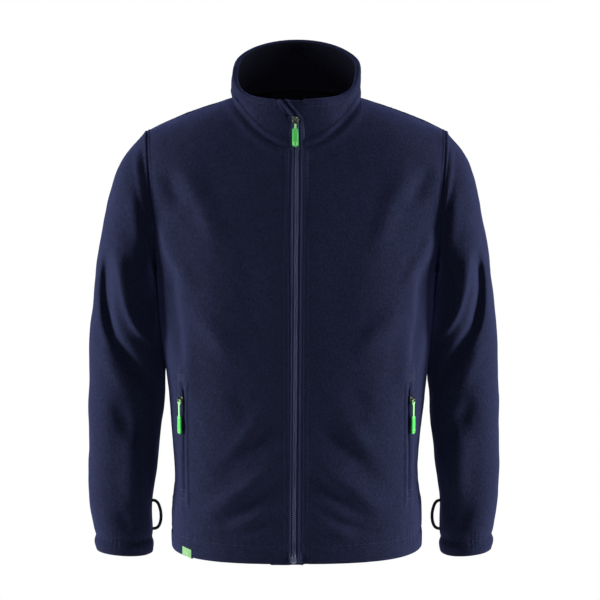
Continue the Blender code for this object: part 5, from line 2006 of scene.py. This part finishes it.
@dataclass
class Fitting:
    """Small hard parts that share a local frame: X sideways, Y into the cloth, Z up along it, in millimetres."""

    name: str
    place: Matrix
    shape: bmesh.types.BMesh = field(default_factory=bmesh.new)

    def take(self, mesh: bpy.types.Mesh, slot: int) -> None:
        """Add a mesh, in millimetres, with one material slot."""
        before = len(self.shape.faces)
        self.shape.from_mesh(mesh)
        self.shape.faces.ensure_lookup_table()
        for face in self.shape.faces[before:]:
            face.material_index = slot
        bpy.data.meshes.remove(mesh)

    def plate(
        self, outlines: Sequence[Sequence[tuple[float, float]]], low: float, high: float, bevel: float,
        slot: int = 0
    ) -> None:
        """Add a flat plate with rounded edges.

        Args:
            outlines: in the X-Z plane, the later ones being holes.
            low: where it starts along Y.
            high: where it ends.
            bevel: the rounding of its edges.
            slot: its material's number.
        """
        curve = bpy.data.curves.new("outline", "CURVE")
        curve.dimensions, curve.fill_mode = "2D", "BOTH"
        curve.extrude, curve.bevel_depth, curve.bevel_resolution, curve.offset = (
            (high - low) / 2 - bevel, bevel, 2, -bevel
        )
        for outline in outlines:
            spline = curve.splines.new("POLY")
            spline.points.add(len(outline) - 1)
            spline.use_cyclic_u = True
            for point, (x, z) in zip(spline.points, outline):
                point.co = (x, z, 0.0, 1.0)
        holder = bpy.data.objects.new("outline", curve)
        bpy.context.scene.collection.objects.link(holder)
        mesh = bpy.data.meshes.new_from_object(holder.evaluated_get(bpy.context.evaluated_depsgraph_get()))
        bpy.data.objects.remove(holder)
        mesh.transform(
            Matrix.Translation((0.0, (low + high) / 2, 0.0)) @ Matrix.Rotation(math.radians(90), 4, "X")
        )
        self.take(mesh, slot)

    def rod(self, points: Sequence | Grid, radius: float, slot: int = 0) -> None:
        """Add a round rod along points."""
        mesh = tube("rod", np.asarray(points, float), radius, 12)
        mesh.transform(Matrix.Scale(1.0 / MM, 4))
        self.take(mesh, slot)

    def build(
        self, materials: Sequence[bpy.types.Material], slot: str, node: str, body: str = "jacket"
    ) -> bpy.types.Object:
        """Join the parts into one piece.

        Args:
            materials: by slot number.
            slot: the record's material slot.
            node: that it replaces.
            body: that it rides on.

        Returns:
            The piece.
        """
        bmesh.ops.remove_doubles(self.shape, verts=self.shape.verts, dist=1e-4)
        bmesh.ops.recalc_face_normals(self.shape, faces=self.shape.faces)
        mesh = bpy.data.meshes.new(self.name)
        self.shape.to_mesh(mesh)
        self.shape.free()
        mesh.transform(self.place @ Matrix.Scale(MM, 4))
        mesh.shade_smooth()
        mesh.set_sharp_from_angle(angle=math.radians(38))
        return add_piece(mesh, materials, slot, (node,), body)


def local_frame(origin: Sequence[float], sideways: Sequence[float], upward: Sequence[float]) -> Matrix:
    """A fitting's frame in metres, from its origin in millimetres and its X and Z axes."""
    x, z = Vector(sideways).normalized(), Vector(upward).normalized()
    place = Matrix((x, z.cross(x), z)).transposed().to_4x4()
    place.translation = Vector(origin) * MM
    return place


@dataclass(frozen=True)
class ZipHardware:
    """A slider and its pull tab."""

    name: str  # of both nodes, with {} for slider or pull
    pull_origin: tuple[float, float, float]
    sideways: tuple[float, float, float]
    upward: tuple[float, float, float]
    face_depth: float
    back_depth: float
    bail_reach: float
    hinge_depth: float
    neck_end: float
    half_width: float = 5.25
    half_length: float = 5.0
    link_half: float = 3.2
    neck_half: float = 2.0
    grip_half: float = 4.5
    grip_length: float = 28.0
    grip_thick: float = 2.6
    dark_link: bool = False

    def build(self, finishes: Finishes) -> None:
        """Make the slider and the pull tab.

        Args:
            finishes: the jacket's materials.
        """
        frame_of_pull = local_frame(self.pull_origin, self.sideways, self.upward)
        self.build_slider(frame_of_pull @ Matrix.Translation((0.0, self.hinge_depth * MM, 0.0)), finishes)
        self.build_pull(frame_of_pull, finishes)

    def build_slider(self, place: Matrix, finishes: Finishes) -> None:
        """The cast body, its rails and the bail that holds the pull.

        Args:
            place: its frame.
            finishes: the jacket's materials.
        """
        made = Fitting(self.name.format("slider") + "_cast", place)
        wide, long = self.half_width, self.half_length
        wing = round_corners(
            [
                (-wide, long), (wide, long), (wide, 0.0), (0.62 * wide, -long), (-0.62 * wide, -long),
                (-wide, 0.0)
            ], 1.6
        )
        if self.back_depth > 1.0:
            made.plate([wing], self.face_depth, self.face_depth + 1.5, 0.45)
            made.plate([wing], self.back_depth - 1.3, self.back_depth, 0.45)
            wedge = round_corners([(-1.6, long), (1.6, long), (0.7, 0.5), (-0.7, 0.5)], 0.6)
            made.plate([wedge], self.face_depth + 1.2, self.back_depth - 1.0, 0.1)
        else:
            made.plate([wing], self.face_depth, self.back_depth, 0.5)
        rails = [
            [(s * (wide - 0.5), 0.0), (s * (wide - 0.7), -1.6), (s * (0.62 * wide - 0.4), -long + 0.5)]
            for s in (-1, 1)
        ]
        for rail in rails:
            made.rod([(x, self.face_depth + 0.1, z) for x, z in rail], 0.45)
        reach = self.bail_reach + self.face_depth + 0.5
        turns = np.radians(np.linspace(0, 180, 25))
        made.rod(
            np.stack(
                [0 * turns, self.face_depth + 0.5 - reach * np.sin(turns), 4.2 * np.cos(turns)], axis=-1
            ), 0.7
        )
        for foot in (
            [(-1.9, 4.7), (1.9, 4.7), (1.9, 3.3), (-1.9, 3.3)],
            [(-1.7, -3.4), (1.7, -3.4), (1.7, -4.7), (-1.7, -4.7)],
        ):
            made.plate([round_corners(foot, 0.6)], self.face_depth - 0.8, self.face_depth + 0.4, 0.3)
        made.build((finishes.zinc,), "painted_zinc", self.name.format("slider"))

    def build_pull(self, place: Matrix, finishes: Finishes) -> None:
        """The pale moulded link and neck, and the green grip on it.

        Args:
            place: its frame, whose X axis is the hinge.
            finishes: the jacket's materials.
        """
        node = self.name.format("pull")
        made = Fitting(node + "_tab", place)
        wide, neck, eye = self.link_half, self.neck_half, -7.5
        link = [(-wide, 0.6), (-wide, eye + 1.0), (-neck, eye), (neck, eye), (wide, eye + 1.0), (wide, 0.6)]
        slot = wide - 1.2
        hole = [(-slot, -0.7), (-slot, -3.6), (slot, -3.6), (slot, -0.7)]
        lower = [(-slot * 0.7, -4.5), (-slot * 0.5, -5.9), (slot * 0.5, -5.9), (slot * 0.7, -4.5)]
        holes = [round_corners(hole, 0.4), round_corners(lower, 0.5)]
        made.plate([round_corners(link, 0.9), *holes], -0.75, 0.75, 0.25, 2 if self.dark_link else 0)
        bar = [
            (-neck * 0.8, eye + 0.6), (-neck * 0.8, -self.neck_end - 2.0),
            (neck * 0.8, -self.neck_end - 2.0), (neck * 0.8, eye + 0.6)
        ]
        made.plate([round_corners(bar, 0.6)], -0.85, 0.85, 0.25, 0)
        half, long, top = self.grip_half, self.grip_length, -self.neck_end
        turns = np.radians(np.linspace(180, 360, 25))
        foot = top + half - long
        outline = [(half * math.cos(t), foot + half * math.sin(t)) for t in turns]
        outline += round_corners(
            [(half, top - 1.4), (half - 1.4, top), (1.4 - half, top), (-half, top - 1.4)], 0.9
        )[2:-2]
        made.plate([outline], -self.grip_thick / 2, self.grip_thick / 2, 0.8, 1)
        inner = [
            (0.68 * x, foot + 0.68 * (z - foot) if z < foot else top - 2.4 + (z - top) * 0.6) for x,
            z in outline
        ]
        deep = self.grip_thick / 2
        for low, high in ((-deep - 0.45, -deep + 0.4), (deep - 0.4, deep + 0.45)):
            made.plate([inner, disc(0.0, foot, 1.25)], low, high, 0.28, 1)
        ring = [
            (2.3 * math.cos(t), -self.grip_thick / 2 - 0.3, foot + 2.3 * math.sin(t))
            for t in np.linspace(0, 2 * math.pi, 25)
        ]
        made.rod(ring, 0.5, 0)
        made.build((finishes.link, finishes.grip, finishes.zinc), "green_moulded_grip", node, node)


def all_hardware() -> list[ZipHardware]:
    """The three sliders and pulls, at their places in the part's source."""
    pocket = {"face_depth": -2.8, "back_depth": -0.3, "bail_reach": 8.0, "hinge_depth": 5.8, "neck_end": 26.0}
    return [
        ZipHardware(
            "zip_{}", (-1.5, -86.58, -28.89), (1, 0, 0), (0, 0.3278, 0.9447), -1.5, 3.9, 5.6, 3.4, 14.0,
            dark_link=True
        ),
        ZipHardware(
            "pocket_{}_left", (176.36, -93.77, -449.42), (0.63108, 0.77056, 0.08929), (0, -0.1151, 0.9934),
            **pocket
        ),
        ZipHardware(
            "pocket_{}_right", (-176.49, -93.76, -449.42), (0.62932, -0.77198, -0.08946),
            (0, -0.1151, 0.9934), **pocket
        ),
    ]


@dataclass(frozen=True)
class ZipBox:
    """The retaining box and the pin at the zip's foot."""

    x: float = -4.0
    height: float = -685.0
    half_width: float = 4.0

    def build(self, finishes: Finishes) -> None:
        """Make the box.

        Args:
            finishes: the jacket's materials.
        """
        depth = middle_depth(np.array((self.height - 4.0, self.height + 4.0)))
        up = (0.0, float(depth[0] - depth[1]), 8.0)
        made = Fitting(
            "zip_box_and_pin", local_frame((self.x, -float(depth.mean()), self.height), (1.0, 0.0, 0.0), up)
        )
        wide = self.half_width
        outline = [
            (-wide, 4.9), (-1.4, 4.9), (-0.8, 2.6), (0.8, 2.6), (1.4, 4.9), (wide, 4.9), (wide, -4.9),
            (-wide, -4.9)
        ]
        shell = round_corners(outline, 1.1)
        made.plate([shell], -2.0, -0.4, 0.4)
        made.plate(
            [
                round_corners(
                    [(-wide + 1.0, 1.4), (wide - 1.0, 1.4), (wide - 1.0, -3.8), (1.0 - wide, -3.8)], 0.8
                )
            ], -2.35, -1.8, 0.2
        )
        made.rod([(-2.2, -1.2, 4.6), (-2.2, -1.2, 8.6)], 0.8)
        made.rod([(2.2, -1.2, 4.6), (2.2, -1.2, 10.6)], 0.8)
        made.build((finishes.metal,), "painted_zinc", "zip_box")


# ================================================================ pockets and label
@dataclass
class Pocket:
    """A zipped side pocket: its welt and the lines of its bar tacks and topstitch; its slider and pull are made with
    the hardware.
    """

    side: Side
    skin: Skin
    low: float = -620.0
    high: float = -417.0
    welt: tuple[float, float] = (160.6, 168.2)
    welt_thick: float = 1.2
    tack: tuple[float, float] = (167.6, 178.6)

    def build(self, finishes: Finishes) -> list[Grid]:
        """Make the welt.

        Args:
            finishes: the jacket's materials.

        Returns:
            The lines of its topstitches.
        """
        heights = np.linspace(self.low, self.high, 110)
        shares = np.linspace(0.0, 1.0, 15)
        height, share = np.meshgrid(heights, shares, indexing="ij")
        drift = 0.5 * np.sin(height / 31.0 + self.side.value)
        points, inward = self.skin.at(mix(*self.welt, share) + drift, height)
        ends = np.clip(np.minimum(height - self.low, self.high - height) / 14.0, 0.0, 1.0) ** 0.5
        climb = np.clip(1.6 * share, 0.0, 1.0)
        crown = 2.6 * climb * climb * (3.0 - 2.0 * climb) * ends - 1.2 * share**2 - 0.4
        cloth = Cloth(points, inward, self.welt_thick, rounded=tuple(Edge), relief=crown)
        cloth.relief += Waves(101 + self.side.value, 40, 14, 0.16).at(points)
        length = self.high - self.low
        add_piece(
            cloth.build("pocket_welt_" + self.side.word), (finishes.fleece, finishes.inside), "navy_fleece",
            ("pocket_zip_" + self.side.word,), sheet=Sheet((0.0125, length * MM), held="stretched"),
        )
        self.tacks = [self.level(z) for z in (-409.8, -412.4, -415.0, -417.6, -420.2, -591.0, -604.5)]
        return [self.upright(POCKET_SLIT + 9.5, -612.0, -402.0)]

    def level(self, height: float) -> Grid:
        """A bar tack's line across the pocket."""
        x = np.linspace(*self.tack, 12)
        points, inward = self.skin.at(x, np.full(x.shape, height))
        return points - inward * 0.35

    def upright(self, x: float, low: float, high: float) -> Grid:
        """A topstitch line beside the pocket."""
        z = np.linspace(low, high, 90)
        points, inward = self.skin.at(np.full(z.shape, x), z)
        return points - inward * 0.1


@dataclass
class Label:
    """A small woven tab folded over the hem, left blank."""

    skin: Skin
    across: tuple[float, float] = (159.0, 172.6)
    top: float = -679.6
    bottom: float = -693.6
    thick: float = 0.8

    def build(self, finishes: Finishes) -> None:
        """Make the tab as one strip round the hem's edge.

        Args:
            finishes: the jacket's materials.
        """
        shares = np.linspace(0.0, 1.0, 13)
        x = mix(*self.across, shares)
        base, inward = self.skin.at(x, np.full(x.shape, -683.0))
        rows = []
        reach = 3.0 + 2 * 1.3
        for t in np.linspace(0.0, 1.0, 40):
            walk = t * 37.0
            front, bend = self.top - self.bottom - reach / 2, math.pi * reach / 2
            if walk < front:
                depth, z = -1.3, self.top - walk
            elif walk < front + bend:
                turn = (walk - front) / bend * math.pi
                depth, z = (
                    -1.3 + reach / 2 * (1 - math.cos(turn)),
                    self.bottom + reach / 2 - reach / 2 * math.sin(turn)
                )
            else:
                depth, z = -1.3 + reach, self.bottom + reach / 2 + (walk - front - bend)
            row = base + inward * depth
            row[:, 2] = z + 0.17 * (x - self.across[0])
            rows.append(row)
        points = np.array(rows)[::-1]
        points = points + Waves(111, 16, 7, 0.12, 8).at(points)[..., None] * inward[None]
        ways = grid_normals(points, False)
        ways *= np.sign((ways[-1] * inward).sum(-1).mean()) or 1.0
        cloth = Cloth(points, ways, self.thick, rounded=tuple(Edge))
        add_piece(
            cloth.build("hem_tab"), (finishes.label, finishes.label), "green_woven_label", ("hem_label",),
            sheet=Sheet((0.014, 0.037), held="folded", rests_on=("front_panel_right",)),
        )


# ================================================================ the jacket
def build_jacket() -> None:
    """Make the camera, the cords, the studio and every piece, in the order a maker would."""
    logging.basicConfig(level=logging.INFO, format="%(message)s")
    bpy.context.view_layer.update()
    Studio().build_camera()
    finishes = Finishes()
    for side in Side:
        Loop(side).build(finishes)
    Studio().build()
    fronts = {side: Front(side=side) for side in Side}
    sewn: list[Front | Back | Sleeve | Collar] = [
        *fronts.values(), Back(), *(Sleeve(side) for side in Side), Collar()
    ]
    for piece in sewn:
        piece.build(finishes)
    FrontZip().build(finishes)
    lines = [line for piece in sewn for line in piece.stitches]
    pockets = [Pocket(side, front.skin) for side, front in fronts.items()]
    for pocket in pockets:
        lines += pocket.build(finishes)
    tacks = [tack for pocket in pockets for tack in pocket.tacks]
    Repeats("bar_tacks", 0.9, (1.1, 1.0, 1.2), seed=7).build(tacks, finishes.thread, "navy_fleece")
    Label(fronts[Side.RIGHT].skin).build(finishes)
    for hardware in all_hardware():
        hardware.build(finishes)
    ZipBox().build(finishes)
    Repeats("topstitching", 3.4, (0.5, 0.5, 2.3), seed=5).build(lines, finishes.thread, "navy_fleece")


if __name__ == "__main__":
    build_jacket()
